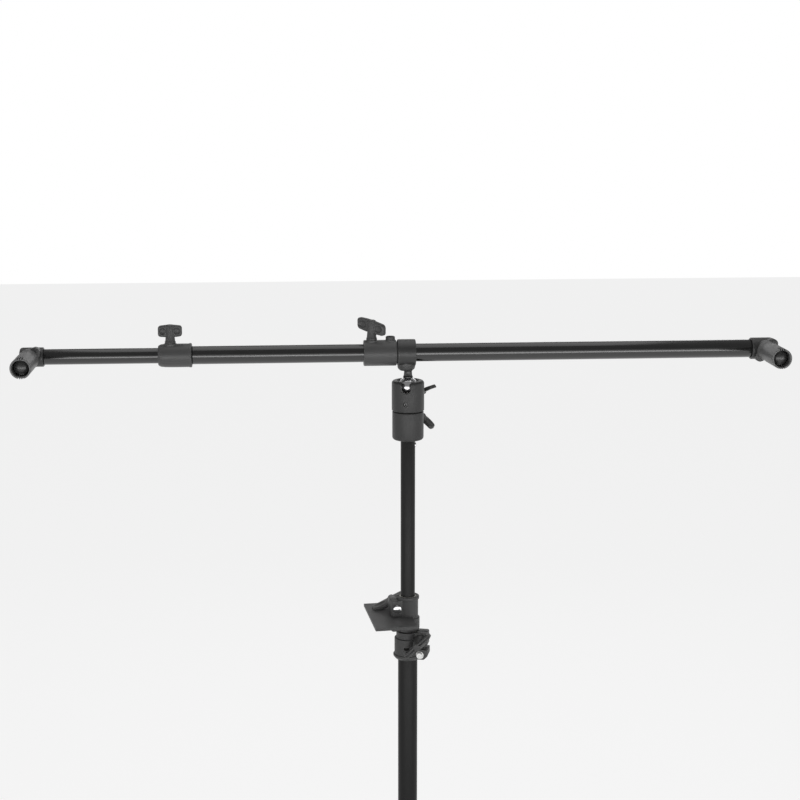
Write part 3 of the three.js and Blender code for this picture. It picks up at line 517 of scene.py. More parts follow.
def _edge_wear_and_highlight(name: str) -> bpy.types.NodeTree:
    """Make the group that finds edges, for rubbed paint and for a painted highlight that lightens them."""
    sockets = [
        ("Vector", "NodeSocketVector", None),
        ("Radius", "NodeSocketFloat", 0.0006),
        ("Amount", "NodeSocketFloat", 0.5),
        ("Patch Scale", "NodeSocketFloat", 120.0),
    ]
    tree, wiring, given, result = _group(name, sockets, ["Mask"])
    rounded = wiring.add("ShaderNodeBevel", {"samples": 6}, Radius=given.outputs["Radius"])
    surface = wiring.add("ShaderNodeNewGeometry")
    match = wiring.add(
        "ShaderNodeVectorMath",
        {"operation": "DOT_PRODUCT"},
        in0=rounded.outputs[0],
        in1=surface.outputs["Normal"],
    )
    bent = wiring.math("SUBTRACT", 1.0, match.outputs["Value"])
    edge = wiring.math("MULTIPLY", bent, 9.0, clamp=True)
    patches = wiring.add(
        "ShaderNodeTexNoise",
        Vector=given.outputs["Vector"],
        Scale=given.outputs["Patch Scale"],
        Detail=3.0,
        Roughness=0.6,
    )
    patchy = wiring.math("ADD", wiring.math("MULTIPLY", patches.outputs[0], 0.9), 0.25, clamp=True)
    # Lighter edges from this mask are partly rubbed paint and partly a painted highlight.
    worn_and_highlit = wiring.math("MULTIPLY", edge, patchy)
    mask = wiring.math("MULTIPLY", worn_and_highlit, given.outputs["Amount"], clamp=True)
    tree.links.new(mask, result.inputs["Mask"])
    return tree


def _fine_grain(name: str) -> bpy.types.NodeTree:
    """Make the group that gives a moulded, cast or sprayed grain and slow changes of tone."""
    sockets = [
        ("Vector", "NodeSocketVector", None),
        ("Scale", "NodeSocketFloat", 1500.0),
        ("Tone Scale", "NodeSocketFloat", 25.0),
    ]
    tree, wiring, given, result = _group(name, sockets, ["Height", "Tone"])
    fine = wiring.add(
        "ShaderNodeTexNoise",
        Vector=given.outputs["Vector"],
        Scale=given.outputs["Scale"],
        Detail=2.0,
        Roughness=0.55,
    )
    slow = wiring.add(
        "ShaderNodeTexNoise",
        Vector=given.outputs["Vector"],
        Scale=given.outputs["Tone Scale"],
        Detail=4.0,
        Roughness=0.6,
    )
    tree.links.new(fine.outputs[0], result.inputs["Height"])
    tree.links.new(slow.outputs[0], result.inputs["Tone"])
    return tree


def _settled_dust(name: str) -> bpy.types.NodeTree:
    """Make the group that lays thin dust on what faces up."""
    sockets = [("Vector", "NodeSocketVector", None), ("Amount", "NodeSocketFloat", 0.1)]
    tree, wiring, given, result = _group(name, sockets, ["Mask"])
    surface = wiring.add("ShaderNodeNewGeometry")
    parts = wiring.add("ShaderNodeSeparateXYZ", in0=surface.outputs["Normal"])
    upward = wiring.math("SUBTRACT", parts.outputs[2], 0.35, clamp=True)
    specks = wiring.add("ShaderNodeTexNoise", Vector=given.outputs["Vector"], Scale=90.0, Detail=6.0, Roughness=0.7)
    lifted = wiring.math("MULTIPLY", upward, specks.outputs[0])
    mask = wiring.math("MULTIPLY", lifted, given.outputs["Amount"], clamp=True)
    tree.links.new(mask, result.inputs["Mask"])
    return tree


def _tool_lines(name: str) -> bpy.types.NodeTree:
    """Make the group that gives the fine lines a lathe or a die leaves, stretched by its Stretch input."""
    sockets = [
        ("Vector", "NodeSocketVector", None),
        ("Stretch", "NodeSocketVector", (1.0, 1.0, 1.0)),
    ]
    tree, wiring, given, result = _group(name, sockets, ["Height"])
    drawn = wiring.add(
        "ShaderNodeVectorMath",
        {"operation": "MULTIPLY"},
        in0=given.outputs["Vector"],
        in1=given.outputs["Stretch"],
    )
    lines = wiring.add("ShaderNodeTexNoise", Vector=drawn.outputs[0], Scale=1.0, Detail=3.0, Roughness=0.5)
    tree.links.new(lines.outputs[0], result.inputs["Height"])
    return tree


@dataclass(frozen=True)
class Finish:
    """One surface finish: its colours, gloss, grain, rubbed edges with a painted edge highlight, and dust."""

    name: str
    colour: Colour
    roughness: float
    metallic: float = 0.0
    specular: float = 0.5
    coat: float = 0.0
    tone: float = 0.12
    grain: float = 1500.0
    grain_depth: float = 0.00003
    lines: Point | None = None
    line_depth: float = 0.0
    edge: float = 0.0005
    # Amount and colour of the lighter edges: rubbed paint and a painted edge highlight.
    wear_and_highlight: float = 0.35
    wear_and_highlight_colour: Colour = (0.3, 0.3, 0.3)
    dust: float = 0.12

    def material(self) -> bpy.types.Material:
        """Return the finish's material, made on first use."""
        made = bpy.data.materials.get(self.name)
        if made is not None:
            return made
        made = bpy.data.materials.new(self.name)
        made.use_nodes = True
        made.diffuse_color = (*self.colour, 1)
        made.node_tree.nodes.clear()
        self._wire(Wiring(made.node_tree))
        return made

    def _effect(self, wiring: Wiring, effect: Effect, **sockets: object) -> bpy.types.Node:
        """Place a shared effect in the material with its own values."""
        return wiring.add("ShaderNodeGroup", {"node_tree": effect.group()}, **sockets)

    def _wire(self, wiring: Wiring) -> None:
        """Join the nodes of the material.

        Args:
            wiring: The material's wiring.
        """
        place = wiring.add("ShaderNodeTexCoord").outputs["Object"]
        grain = self._effect(wiring, Effect.FINE_GRAIN, Vector=place, Scale=self.grain)
        # The edge mask paints lighter edges: partly rubbed paint, partly a painted highlight.
        wear_and_highlight = self._effect(wiring, Effect.EDGE_WEAR_AND_HIGHLIGHT, Vector=place, Radius=self.edge * 1.6, Amount=self.wear_and_highlight)
        dust = self._effect(wiring, Effect.DUST, Vector=place, Amount=self.dust)
        dark = tuple(c * (1 - self.tone) for c in self.colour)
        light = tuple(c * (1 + self.tone) for c in self.colour)
        toned = wiring.blend(grain.outputs["Tone"], (*dark, 1), (*light, 1))
        # Lightens the edges with the edge colour: rubbed paint and a painted highlight.
        worn_and_highlit = wiring.blend(wear_and_highlight.outputs["Mask"], toned, (*self.wear_and_highlight_colour, 1))
        dusty = wiring.blend(dust.outputs["Mask"], worn_and_highlit, (*grey(150, 0.04), 1))
        spread = wiring.math("MULTIPLY", grain.outputs["Tone"], 0.16)
        rough = wiring.math("ADD", spread, self.roughness - 0.08)
        rough = wiring.math("ADD", rough, wiring.math("MULTIPLY", dust.outputs["Mask"], 0.8), clamp=True)
        rounded = wiring.add("ShaderNodeBevel", {"samples": 6}, Radius=self.edge).outputs[0]
        normal = wiring.add(
            "ShaderNodeBump",
            Height=grain.outputs["Height"],
            Distance=self.grain_depth,
            Strength=1.0,
            Normal=rounded,
        ).outputs[0]
        if self.lines is not None:
            lines = self._effect(wiring, Effect.TOOL_LINES, Vector=place, Stretch=self.lines)
            normal = wiring.add(
                "ShaderNodeBump",
                Height=lines.outputs["Height"],
                Distance=self.line_depth,
                Strength=1.0,
                Normal=normal,
            ).outputs[0]
        shader = wiring.add(
            "ShaderNodeBsdfPrincipled",
            Base_Color=dusty,
            Roughness=rough,
            Metallic=self.metallic,
            Normal=normal,
            Coat_Weight=self.coat,
            Coat_Roughness=0.12,
            Specular_IOR_Level=self.specular,
        )
        wiring.add("ShaderNodeOutputMaterial", Surface=shader.outputs[0])


# The lighter edge colours in these finishes paint edge highlights as well as rubbed paint.
BAR_PAINT = Finish(
    "bar_paint",
    grey(22),
    0.17,
    specular=0.85,
    grain=2600,
    grain_depth=0.000004,
    lines=(6, 900, 900),
    line_depth=0.000004,
    wear_and_highlight=0.25,
    wear_and_highlight_colour=grey(90),
    dust=0.05,
)
COLUMN_PAINT = Finish(
    "column_paint",
    grey(17),
    0.4,
    specular=0.22,
    grain=2200,
    grain_depth=0.00001,
    wear_and_highlight=0.25,
    wear_and_highlight_colour=grey(70),
    dust=0.05,
)
LEG_PAINT = Finish(
    "leg_paint",
    grey(24),
    0.3,
    specular=0.5,
    grain=2000,
    grain_depth=0.00001,
    wear_and_highlight=0.3,
    wear_and_highlight_colour=grey(90),
    dust=0.15,
)
COLLAR_PLASTIC = Finish("collar_plastic", grey(62), 0.5, specular=0.4, wear_and_highlight=0.45, wear_and_highlight_colour=grey(132))
FITTING_PLASTIC = Finish("fitting_plastic", grey(66), 0.42, specular=0.5, wear_and_highlight=0.4, wear_and_highlight_colour=grey(140))
KNOB_PLASTIC = Finish("knob_plastic", grey(58), 0.46, specular=0.45, wear_and_highlight=0.5, wear_and_highlight_colour=grey(140))
CAP_PLASTIC = Finish("cap_plastic", grey(48), 0.4, specular=0.5, wear_and_highlight=0.35, wear_and_highlight_colour=grey(120))
GRIP_PLASTIC = Finish("grip_plastic", grey(86), 0.45, specular=0.45, wear_and_highlight=0.5, wear_and_highlight_colour=grey(165))
GLOSS_PLASTIC = Finish(
    "gloss_plastic", grey(30), 0.2, specular=0.7, coat=0.4, grain_depth=0.000004, wear_and_highlight=0.15, dust=0.04
)
HEAD_METAL = Finish(
    "head_metal",
    grey(74),
    0.34,
    metallic=0.85,
    tone=0.06,
    grain=3000,
    grain_depth=0.000004,
    lines=(25, 25, 2600),
    line_depth=0.000006,
    edge=0.0006,
    # A strong, near-white edge colour here paints bright glints on the head's edges as well as rubbed metal.
    wear_and_highlight=0.8,
    wear_and_highlight_colour=grey(215),
    dust=0.05,
)
STEM_METAL = Finish(
    "stem_metal", grey(60), 0.22, metallic=0.9, tone=0.05, grain_depth=0.000003, wear_and_highlight=0.4, dust=0.03
)
CHROME = Finish(
    "chrome", grey(232), 0.12, metallic=1.0, tone=0.03, grain=800, grain_depth=0.000002, wear_and_highlight=0.1, dust=0.0
)
ZINC = Finish(
    "zinc", grey(212, 0.01), 0.3, metallic=1.0, tone=0.08, grain=900, grain_depth=0.000008, wear_and_highlight=0.3,
    wear_and_highlight_colour=grey(235), dust=0.03,
)
NYLON = Finish("nylon", grey(190, 0.05), 0.5, tone=0.05, grain_depth=0.00001, wear_and_highlight=0.1, wear_and_highlight_colour=grey(210))
CASTING = Finish(
    "casting",
    grey(34),
    0.48,
    metallic=0.2,
    grain=700,
    grain_depth=0.00009,
    edge=0.0009,
    wear_and_highlight=0.5,
    wear_and_highlight_colour=grey(120),
    dust=0.2,
)
RUBBER = Finish("rubber", grey(26), 0.75, specular=0.3, grain=900, grain_depth=0.00006, wear_and_highlight=0.2, dust=0.3)


# ---- Pieces -------------------------------------------------------------------------------------


def make(name: str, shape: Shape, finish: Finish, body: str, nodes: Sequence[str] = ()) -> bpy.types.Object:
    """Turn a shape into a finished piece that rides on a body.

    Args:
        name: The piece's name.
        shape: Its shape, which is used up.
        finish: Its finish.
        body: The body that it moves with.
        nodes: The CAD nodes that it stands for.

    Returns:
        The piece.
    """
    shape.placed(Matrix.Scale(MM, 4))
    data = bpy.data.meshes.new(name)
    for face in shape.mesh.faces:
        face.smooth = True
    shape.mesh.to_mesh(data)
    shape.mesh.free()
    data.set_sharp_from_angle(angle=math.radians(32))
    data.materials.append(finish.material())
    piece = bpy.data.objects.new(name, data)
    bpy.context.scene.collection.objects.link(piece)
    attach(piece, body)
    if nodes:
        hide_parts(*nodes)
    LOG.info("%s: %d faces on %s, finish %s", name, len(data.polygons), body, finish.name)
    return piece


def keep(finish: Finish, *nodes: str) -> None:
    """Give CAD nodes that keep their own shape a finish.

    Args:
        finish: The finish.
        nodes: Names of the nodes.
    """
    for node in nodes:
        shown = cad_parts[node]
        for slot in shown.material_slots:
            slot.material = finish.material()
        LOG.info("%s: kept, finish %s", node, finish.name)


@dataclass
class Tube:
    """A round tube with softened ends, on Z or along X."""

    radius: float
    wall: float = 1.5
    lip: float = 0.45

    def shape(self, start: float, end: float) -> Shape:
        """Return the tube on Z from start to end."""
        inner = self.radius - self.wall
        outline = [(inner, start), (self.radius, start), (self.radius, end), (inner, end)]
        return Shape.turned(outline, segments=128).softened(self.lip, segments=2)


@dataclass
class WingKnob:
    """A wing knob on +Z with its seat at z = 0: a boss and two dished, curled wings in the XZ plane."""

    boss_radius: float
    boss_height: float
    half: float
    bottom: float
    top: float
    thickness: float
    skew: float = 0.0
    arch: float = 1.5
    curl: float = 1.6
    groove: float = 0.0
    screw: float = 0.0
    corner: float = 4.2

    def shape(self) -> Shape:
        """Return the knob."""
        return self._blade().with_(self._boss())

    def _boss(self) -> Shape:
        """Return the tapered boss with its foot ring and raised button."""
        r, h = self.boss_radius, self.boss_height
        outline = [
            (0, 0.0),
            (r, 0.0),
            (r, h * 0.22),
            (r - 0.7, h * 0.3),
            (r * 0.8, h),
            (self.thickness * 0.72, h + 2.5),
            (self.thickness * 0.72, self.top + self.arch - 1.2),
            (self.thickness * 0.5, self.top + self.arch + 0.2),
            (0, self.top + self.arch + 0.2),
        ]
        return Shape.turned(outline, segments=64).softened(0.35, segments=2)

    def _blade(self) -> Shape:
        """Return the two wings: an outline with a raised middle, dished on both faces and curled."""
        h, b, t, k = self.half, self.bottom, self.top, self.skew
        outline = [
            (-h, b + k),
            (-h * 0.35, b + k * 0.3 - 1.2),
            (h * 0.35, b - k * 0.3 - 1.2),
            (h, b - k),
            (h, t - k),
            (h * 0.3, t + self.arch - k * 0.3),
            (-h * 0.3, t + self.arch + k * 0.3),
            (-h, t + k),
        ]
        width = self.thickness * 0.86
        blade = Shape.slab(outline, width, corner=self.corner, edge=width * 0.22)
        blade.placed(turn("X", 90) @ move(0, 0, -width / 2))
        dishes = []
        for side, face in ((-1, -1), (-1, 1), (1, -1), (1, 1)):
            dish = Shape.ball(1, segments=40)
            level = (b + t) / 2 - side * k * 0.6
            size = Matrix.Diagonal((h * 0.3, width * 0.32, (t - b) * 0.36, 1))
            dish.placed(move(side * h * 0.6, face * (width / 2 + width * 0.08), level) @ size)
            dishes.append(dish)
        if self.groove > 0:
            depth = self.groove
            channel = Shape.block((h * 1.9, width * 0.34, depth * 2), (0, 0, t + self.arch), edge=0.4)
            dishes.append(channel)
        blade.without(*dishes)
        blade.stationed([h * s / 8 for s in range(-7, 8)])
        return blade.curled(h, self.curl)


@dataclass
class Bolt:
    """A bolt's head on +Z with its underside at z = 0, its shank below."""

    radius: float
    height: float
    hexagon: bool
    shank: float
    shank_radius: float = 3.0
    drive: float = 0.0

    def shape(self) -> Shape:
        """Return the head and shank."""
        r, h = self.radius, self.height
        if self.hexagon:
            corners = [(r * math.cos(math.tau * i / 6), r * math.sin(math.tau * i / 6)) for i in range(6)]
            head = Shape.slab(corners, h, edge=0.25)
            dome = Shape.turned([(0, -1), (r + 2, -1), (r + 0.4, h - 1.5), (r - 1.4, h), (0, h)], segments=64)
            head.combined(Combine.KEEP, dome)
            head.with_(Shape.turned([(0, -0.01), (r + 0.4, -0.01), (r + 0.4, 0.6), (0, 0.6)], segments=48))
        else:
            outline = [(0, 0), (r, 0), (r, h * 0.45), (r * 0.93, h * 0.75), (r * 0.72, h * 0.95), (0, h)]
            head = Shape.turned(outline, segments=64).softened(0.2, segments=2)
        if self.drive > 0:
            head.without(Shape.rod(self.drive, h * 0.35, h + 2, segments=6))
        return head.with_(Shape.rod(self.shank_radius, -self.shank, 0.5, segments=32))


class SubAssembly:
    """A group of pieces that are made and dressed together."""

    def build(self) -> None:
        """Make and dress every piece of the group."""
        raise NotImplementedError


# ---- Base ---------------------------------------------------------------------------------------


@dataclass
class Leg(SubAssembly):
    """One leg: the cast hub round the column, the bent tube and the rubber shoe."""

    name: str
    azimuth: float
    body: str
    locked: bool = False
    hub_radius: float = 24.0
    socket_radius: float = 14.5
    socket_reach: float = 66.0
    tube_radius: float = 10.0
    reach: float = 480.0
    corner: float = 15.0
    shoe_radius: float = 13.5
    shoe_length: float = 38.0
    shoe_wall: float = 3.5
    bore: float = 15.3

    def build(self) -> None:
        """Make the hub, tube and shoe."""
        self._hub()
        self._tube()
        self._shoe()

    @property
    def hub(self) -> tuple[float, float]:
        """Return the heights of the hub's underside and top."""
        node = f"{self.name}_leg_hub"
        return low(node).z, high(node).z

    def _around(self) -> Matrix:
        """Return the turn that brings the leg to its azimuth."""
        return turn("Z", self.azimuth)

    def _hub(self) -> None:
        """Make the hub with its socket, gusset ribs and set screws."""
        under, top = self.hub
        height = top - under
        axis = height / 2
        r = self.hub_radius
        outline = [(0, 0), (r - 1.5, 0), (r, 1.5), (r, 6), (r - 1.2, 7.5), (r - 1.2, height - 7.5)]
        outline += [(r, height - 6), (r, height - 1.5), (r - 1.5, height), (0, height)]
        hub = Shape.turned(outline, segments=96).softened(0.5, segments=2)
        s = self.socket_radius
        arm = [(0, 4), (s + 1.4, 18), (s, 30), (s, self.socket_reach - 9), (s + 1.1, self.socket_reach - 7.5)]
        arm += [(s + 1.1, self.socket_reach - 1), (s - 0.2, self.socket_reach), (0, self.socket_reach)]
        socket = Shape.turned(arm, segments=72).placed(move(0, 0, axis) @ ALONG_X)
        parts = [socket]
        for side in (-1, 1):
            rib = [(self.hub_radius - 4, -1.8), (self.socket_reach - 12, -1.8)]
            rib += [(self.socket_reach - 12, 1.8), (self.hub_radius - 4, 1.8)]
            fin = Shape.slab(rib, 3.4, edge=0.6).placed(move(0, side * (s - 0.6), axis - 1.7))
            parts.append(fin)
        tools = [
            Shape.rod(self.tube_radius + 0.3, r + 3, self.socket_reach + 1).placed(move(0, 0, axis) @ ALONG_X),
        ]
        if self.locked:
            boss = [(0, 0), (10, 0), (10, r + 5), (9, r + 6), (0, r + 6)]
            parts.append(Shape.turned(boss, segments=64).placed(move(0, 0, axis) @ turn("Y", -90)))
        tools.append(Shape.rod(self.bore, -2, height + 2, segments=96))
        hub.with_(*parts).without(*tools)
        hub.placed(self._around() @ move(0, 0, under))
        nodes = [f"{self.name}_leg_hub"]
        make(f"{self.name}_hub", hub, CASTING, self.body, nodes)
        for number, along in enumerate((38.0, 54.0)):
            screw = [(0, 0), (3.6, 0), (3.6, 1.3), (3.1, 1.8), (0, 1.8)]
            shape = Shape.turned(screw, segments=40).softened(0.15, segments=2)
            shape.without(Shape.rod(1.7, 0.6, 3, segments=6))
            shape.placed(self._around() @ move(along, 0, under + axis + s - 0.9))
            make(f"{self.name}_socket_screw_{number}", shape, ZINC, self.body)

    def _tube(self) -> None:
        """Make the bent tube."""
        under, top = self.hub
        height = (under + top) / 2
        drop = height - self.reach * 0.065
        corners = [
            Vector((self.hub_radius + 4, height)),
            Vector((self.socket_reach + 22, height)),
            Vector((self.socket_reach + 22 + drop * 0.62, height - drop)),
            Vector((self.reach - self.shoe_length - 22, self.shoe_radius)),
            Vector((self.reach - self.shoe_wall - 0.3, self.shoe_radius)),
        ]
        runs: list[tuple[float, float, float]] = []
        spare = 0.0
        for before, here, after in zip(corners, corners[1:], corners[2:]):
            into, out = here - before, after - here
            angle = math.atan2(into.y, into.x) - math.atan2(out.y, out.x)
            bend = self.corner / math.tan(abs(angle) / 2)
            runs.append((into.length - self.corner - spare, bend, math.degrees(angle)))
            spare = self.corner
        runs.append(((corners[-1] - corners[-2]).length - spare, 0, 0))
        tube = Shape.bent_rod(self.tube_radius, runs)
        tube.placed(self._around() @ move(corners[0].x, 0, height))
        nodes = [f"{self.name}_leg_tube"]
        make(f"{self.name}_tube", tube, LEG_PAINT, self.body, nodes)

    def _shoe(self) -> None:
        """Make the rubber shoe with its rings and flat sole."""
        r, length = self.shoe_radius, self.shoe_length
        outline = [(10.3, 0), (r - 1, 0), (r, 1.5)]
        for start in (7.0, 13.0, 19.0):
            outline += [(r, start), (r - 0.9, start + 0.7), (r - 0.9, start + 2.3), (r, start + 3)]
        outline += [(r + 0.5, length - 9), (r + 0.5, length - 4), (r - 3.5, length), (0, length)]
        outline += [(0, length - self.shoe_wall), (10.3, length - self.shoe_wall)]
        shoe = Shape.turned(outline, segments=72).softened(0.25, segments=2)
        shoe.placed(move(self.reach - length, 0, r) @ ALONG_X)
        shoe.sliced((0, 0, 0.02), (0, 0, -1))
        shoe.placed(self._around())
        nodes = [f"{self.name}_leg_foot"]
        make(f"{self.name}_shoe", shoe, RUBBER, self.body, nodes)


@dataclass
class ColumnFoot(SubAssembly):
    """The cap below the hubs, the stop ring above them and the knob that locks the legs."""

    cap_radius: float = 24.0
    ring_radius: float = 22.0
    column_radius: float = 15.0
    knob_azimuth: float = 240.0
    knob_seat: float = 30.3
    knob: WingKnob = field(
        default_factory=lambda: WingKnob(9, 14, 16, 10.2, 25.5, 8, arch=1.5, curl=1.0, corner=3.5)
    )

    def build(self) -> None:
        """Make the cap, ring and knob."""
        foot = low("column_foot_cap").z
        r = self.cap_radius
        outline = [(0, 1.4), (9, 1.4), (10, 0), (r - 2.5, 0), (r, 2.5), (r, 7.6), (0, 7.6)]
        cap = Shape.turned(outline, segments=96).softened(0.5, segments=2)
        ribs = []
        for number in range(12):
            rib = Shape.block((2.2, 4, 5), (r + 0.4, 0, 5), edge=0.5)
            ribs.append(rib.placed(turn("Z", number * 30)))
        cap.without(*ribs).placed(move(0, 0, foot))
        make("foot_cap", cap, CAP_PLASTIC, "base", ["column_foot_cap"])
        under, top = low("hub_stop_ring").z, high("hub_stop_ring").z
        inner, outer = self.column_radius + 0.3, self.ring_radius
        outline = [(inner, under), (outer, under), (outer, top), (inner, top)]
        ring = Shape.turned(outline, segments=96).softened(0.8)
        hole = Shape.rod(3, outer - 3, outer + 2).placed(move(0, 0, (under + top) / 2) @ turn("Z", -60) @ ALONG_X)
        make("stop_ring", ring.without(hole), ZINC, "base", ["hub_stop_ring"])
        axis = middle("high_leg_hub").z
        place = turn("Z", self.knob_azimuth) @ move(-self.knob_seat, 0, axis) @ turn("Y", -90)
        knob = self.knob.shape().placed(place)
        make("hub_knob", knob, KNOB_PLASTIC, "leg_knob", ["leg_lock_knob"])


# ---- Column -------------------------------------------------------------------------------------


@dataclass
class Column(SubAssembly):
    """The column's three telescoping tubes and their hidden bushes."""

    radii: tuple[float, float, float] = (15.0, 13.0, 11.0)
    names: tuple[str, str, str] = ("lower_column", "mid_riser", "top_riser")
    bodies: tuple[str, str, str] = ("base", "mid_section", "top_section")

    def build(self) -> None:
        """Make the tubes and dress the bushes."""
        for radius, name, body in zip(self.radii, self.names, self.bodies):
            tube = Tube(radius).shape(low(name).z, high(name).z)
            if name == "top_riser":
                hole = Shape.rod(3.3, 0, radius + 2, segments=32)
                tube.without(hole.placed(move(0, 0, middle("stud_screw").z) @ ALONG_X))
            make(f"{name}_tube", tube, COLUMN_PAINT, body, [name])
        keep(NYLON, "mid_riser_bush", "top_riser_bush", "lower_collar_bush", "upper_collar_bush")


@dataclass
class ClampCollar(SubAssembly):
    """A split clamp collar with ears, bolts and a wing knob. Radii and heights are from its foot."""

    name: str
    body: str
    knob_body: str
    bearing: float
    height: float
    bore: float
    low_radius: float
    skirt_radius: float
    skirt_top: float
    step: float
    high_radius: float
    rim_radius: float
    rim: float
    slot: float
    slot_start: float
    low_ear: float
    high_ear: float
    ear_top: float
    fix: tuple[float, float]
    lock: tuple[float, float]
    fix_side: int
    knob_angle: float
    knob: WingKnob
    slot_height: float = 4.2
    slit: float = 3.0
    ear_half: float = 12.0
    seat_gap: float = 0.3

    def build(self) -> None:
        """Make the collar, its bolts and its knob."""
        foot = low(f"{self.name}_collar").z
        place = move(0, 0, foot) @ turn("Z", self.bearing)
        body = self._ring().with_(self._low_ears(), self._high_ears())
        body.without(*self._holes()).placed(place)
        make(f"{self.name}_clamp", body, COLLAR_PLASTIC, self.body, [f"{self.name}_collar"])
        self._bolts(place)
        seat = -(self.ear_half + self.seat_gap)
        x, z = self.lock
        knob_place = place @ move(x, seat, z) @ turn("Z", self.knob_angle * 0) @ turn("X", 90)
        knob = self.knob.shape().placed(knob_place @ turn("Z", self.knob_angle))
        nodes = [f"{self.name}_lock_knob"]
        make(f"{self.name}_knob", knob, KNOB_PLASTIC, self.knob_body, nodes)

    def _ring(self) -> Shape:
        """Return the round body with its skirt, step and rim."""
        outline = [
            (self.bore - 1, 0),
            (self.low_radius - 1.4, 0),
            (self.skirt_radius - 0.2, self.skirt_top - 3),
            (self.skirt_radius, self.skirt_top - 1.2),
            (self.skirt_radius - 0.3, self.skirt_top),
            (self.low_radius, self.skirt_top + 0.6),
            (self.low_radius, self.step - 0.8),
            (self.low_radius - 0.8, self.step),
            (self.high_radius, self.step),
            (self.high_radius, self.rim - 0.8),
            (self.rim_radius, self.rim),
            (self.rim_radius, self.height - 0.7),
            (self.rim_radius - 0.7, self.height),
            (self.bore - 1, self.height),
        ]
        return Shape.turned(outline, segments=128).softened(0.28, segments=2, angle=35)

    def _ear(self, outline: Outline, corner: float) -> Shape:
        """Return a pair of ears from an outline in (x, z), as one block across the slit."""
        width = 2 * self.ear_half
        ear = Shape.slab(outline, width, corner=corner, edge=0.7)
        return ear.placed(move(0, self.ear_half, 0) @ turn("X", 90))

    def _low_ears(self) -> Shape:
        """Return the ears of the lower ring."""
        e = self.low_ear
        return self._ear([(2, 1), (e - 6, 1), (e, 7), (e, self.slot), (2, self.slot)], 1.2)

    def _high_ears(self) -> Shape:
        """Return the ears of the upper ring."""
        e, under = self.high_ear, self.slot + self.slot_height
        return self._ear([(2, under), (e, under), (e, self.ear_top), (2, self.ear_top)], 2.6)

    def _holes(self) -> list[Shape]:
        """Return the tools that open the bore, slit, slot, bolt holes and spot faces."""
        reach = self.low_ear + self.high_ear
        tools = [
            Shape.rod(self.bore, -2, self.height + 2, segments=128),
            Shape.block((reach, self.slit, self.height + 4), (reach / 2, 0, self.height / 2)),
        ]
        depth = reach - self.slot_start
        slot = Shape.block(
            (depth, 2 * reach, self.slot_height),
            (self.slot_start + depth / 2, 0, self.slot + self.slot_height / 2),
        )
        tools.append(slot)
        across = turn("X", -90)
        for x, z in (self.fix, self.lock):
            tools.append(Shape.rod(3.3, -reach, reach, segments=40).placed(move(x, 0, z) @ across))
        half = self.ear_half
        start, end = (half, reach) if self.fix_side > 0 else (-reach, -half)
        x, z = self.fix
        tools.append(Shape.rod(6.6, start - 0.25, end).placed(move(x, 0, z) @ across))
        x, z = self.lock
        tools.append(Shape.rod(7.2, half - 0.25, reach).placed(move(x, 0, z) @ across))
        tools.append(Shape.rod(10.3, -reach, -half + 0.2).placed(move(x, 0, z) @ across))
        return tools

    def _bolts(self, place: Matrix) -> None:
        """Make the lock bolt and the fixing bolt.

        Args:
            place: The collar's place.
        """
        out = self.ear_half + self.seat_gap
        shank = 2 * self.ear_half + 2 * self.seat_gap
        x, z = self.lock
        lock = Bolt(6.5, 3.6, False, shank + 8).shape().placed(place @ move(x, out, z) @ turn("X", -90))
        make(f"{self.name}_lock_bolt_head", lock, CHROME, self.body, [f"{self.name}_lock_bolt"])
        x, z = self.fix
        side = self.fix_side
        fixing = Bolt(5.8, 4.0, True, shank + 4, drive=0.0).shape()
        fixing.placed(place @ move(x, side * out, z) @ turn("X", -90 * side))
        make(f"{self.name}_fixing_bolt_head", fixing, ZINC, self.body, [f"{self.name}_fixing_bolt"])
        nut = Shape.rod(5.4, 0, 3.6, segments=6).softened(0.5, segments=2)
        nut.without(Shape.rod(2.9, -1, 5, segments=32))
        nut.placed(place @ move(x, -side * out, z) @ turn("X", 90 * side))
        make(f"{self.name}_fixing_nut", nut, ZINC, self.body)


LOWER_COLLAR = ClampCollar(
    name="lower",
    body="base",
    knob_body="lower_knob",
    bearing=-14.6,
    height=43.8,
    bore=15.3,
    low_radius=20.5,
    skirt_radius=22.5,
    skirt_top=7,
    step=33.4,
    high_radius=17.7,
    rim_radius=17.7,
    rim=40,
    slot=17.4,
    slot_start=-2,
    low_ear=33,
    high_ear=32,
    ear_top=43.6,
    fix=(21, 8.6),
    lock=(21.2, 31.4),
    fix_side=-1,
    knob_angle=43.7,
    knob=WingKnob(10, 16, 25.5, 11.2, 29.5, 8.5, groove=4.0, curl=0.8),
)

UPPER_COLLAR = ClampCollar(
    name="upper",
    body="mid_section",
    knob_body="upper_knob",
    bearing=185.8,
    height=55,
    bore=13.3,
    low_radius=18.3,
    skirt_radius=18.3,
    skirt_top=6,
    step=21,
    high_radius=16,
    rim_radius=17.5,
    rim=50.5,
    slot=20.6,
    slot_start=-5,
    low_ear=31.5,
    high_ear=28,
    ear_top=50,
    fix=(19.5, 11.3),
    lock=(18.6, 37.4),
    fix_side=1,
    knob_angle=-28,
    knob=WingKnob(10, 16, 33, 11.2, 29.5, 8.5, curl=2.4),
)


# ---- Ball head ----------------------------------------------------------------------------------


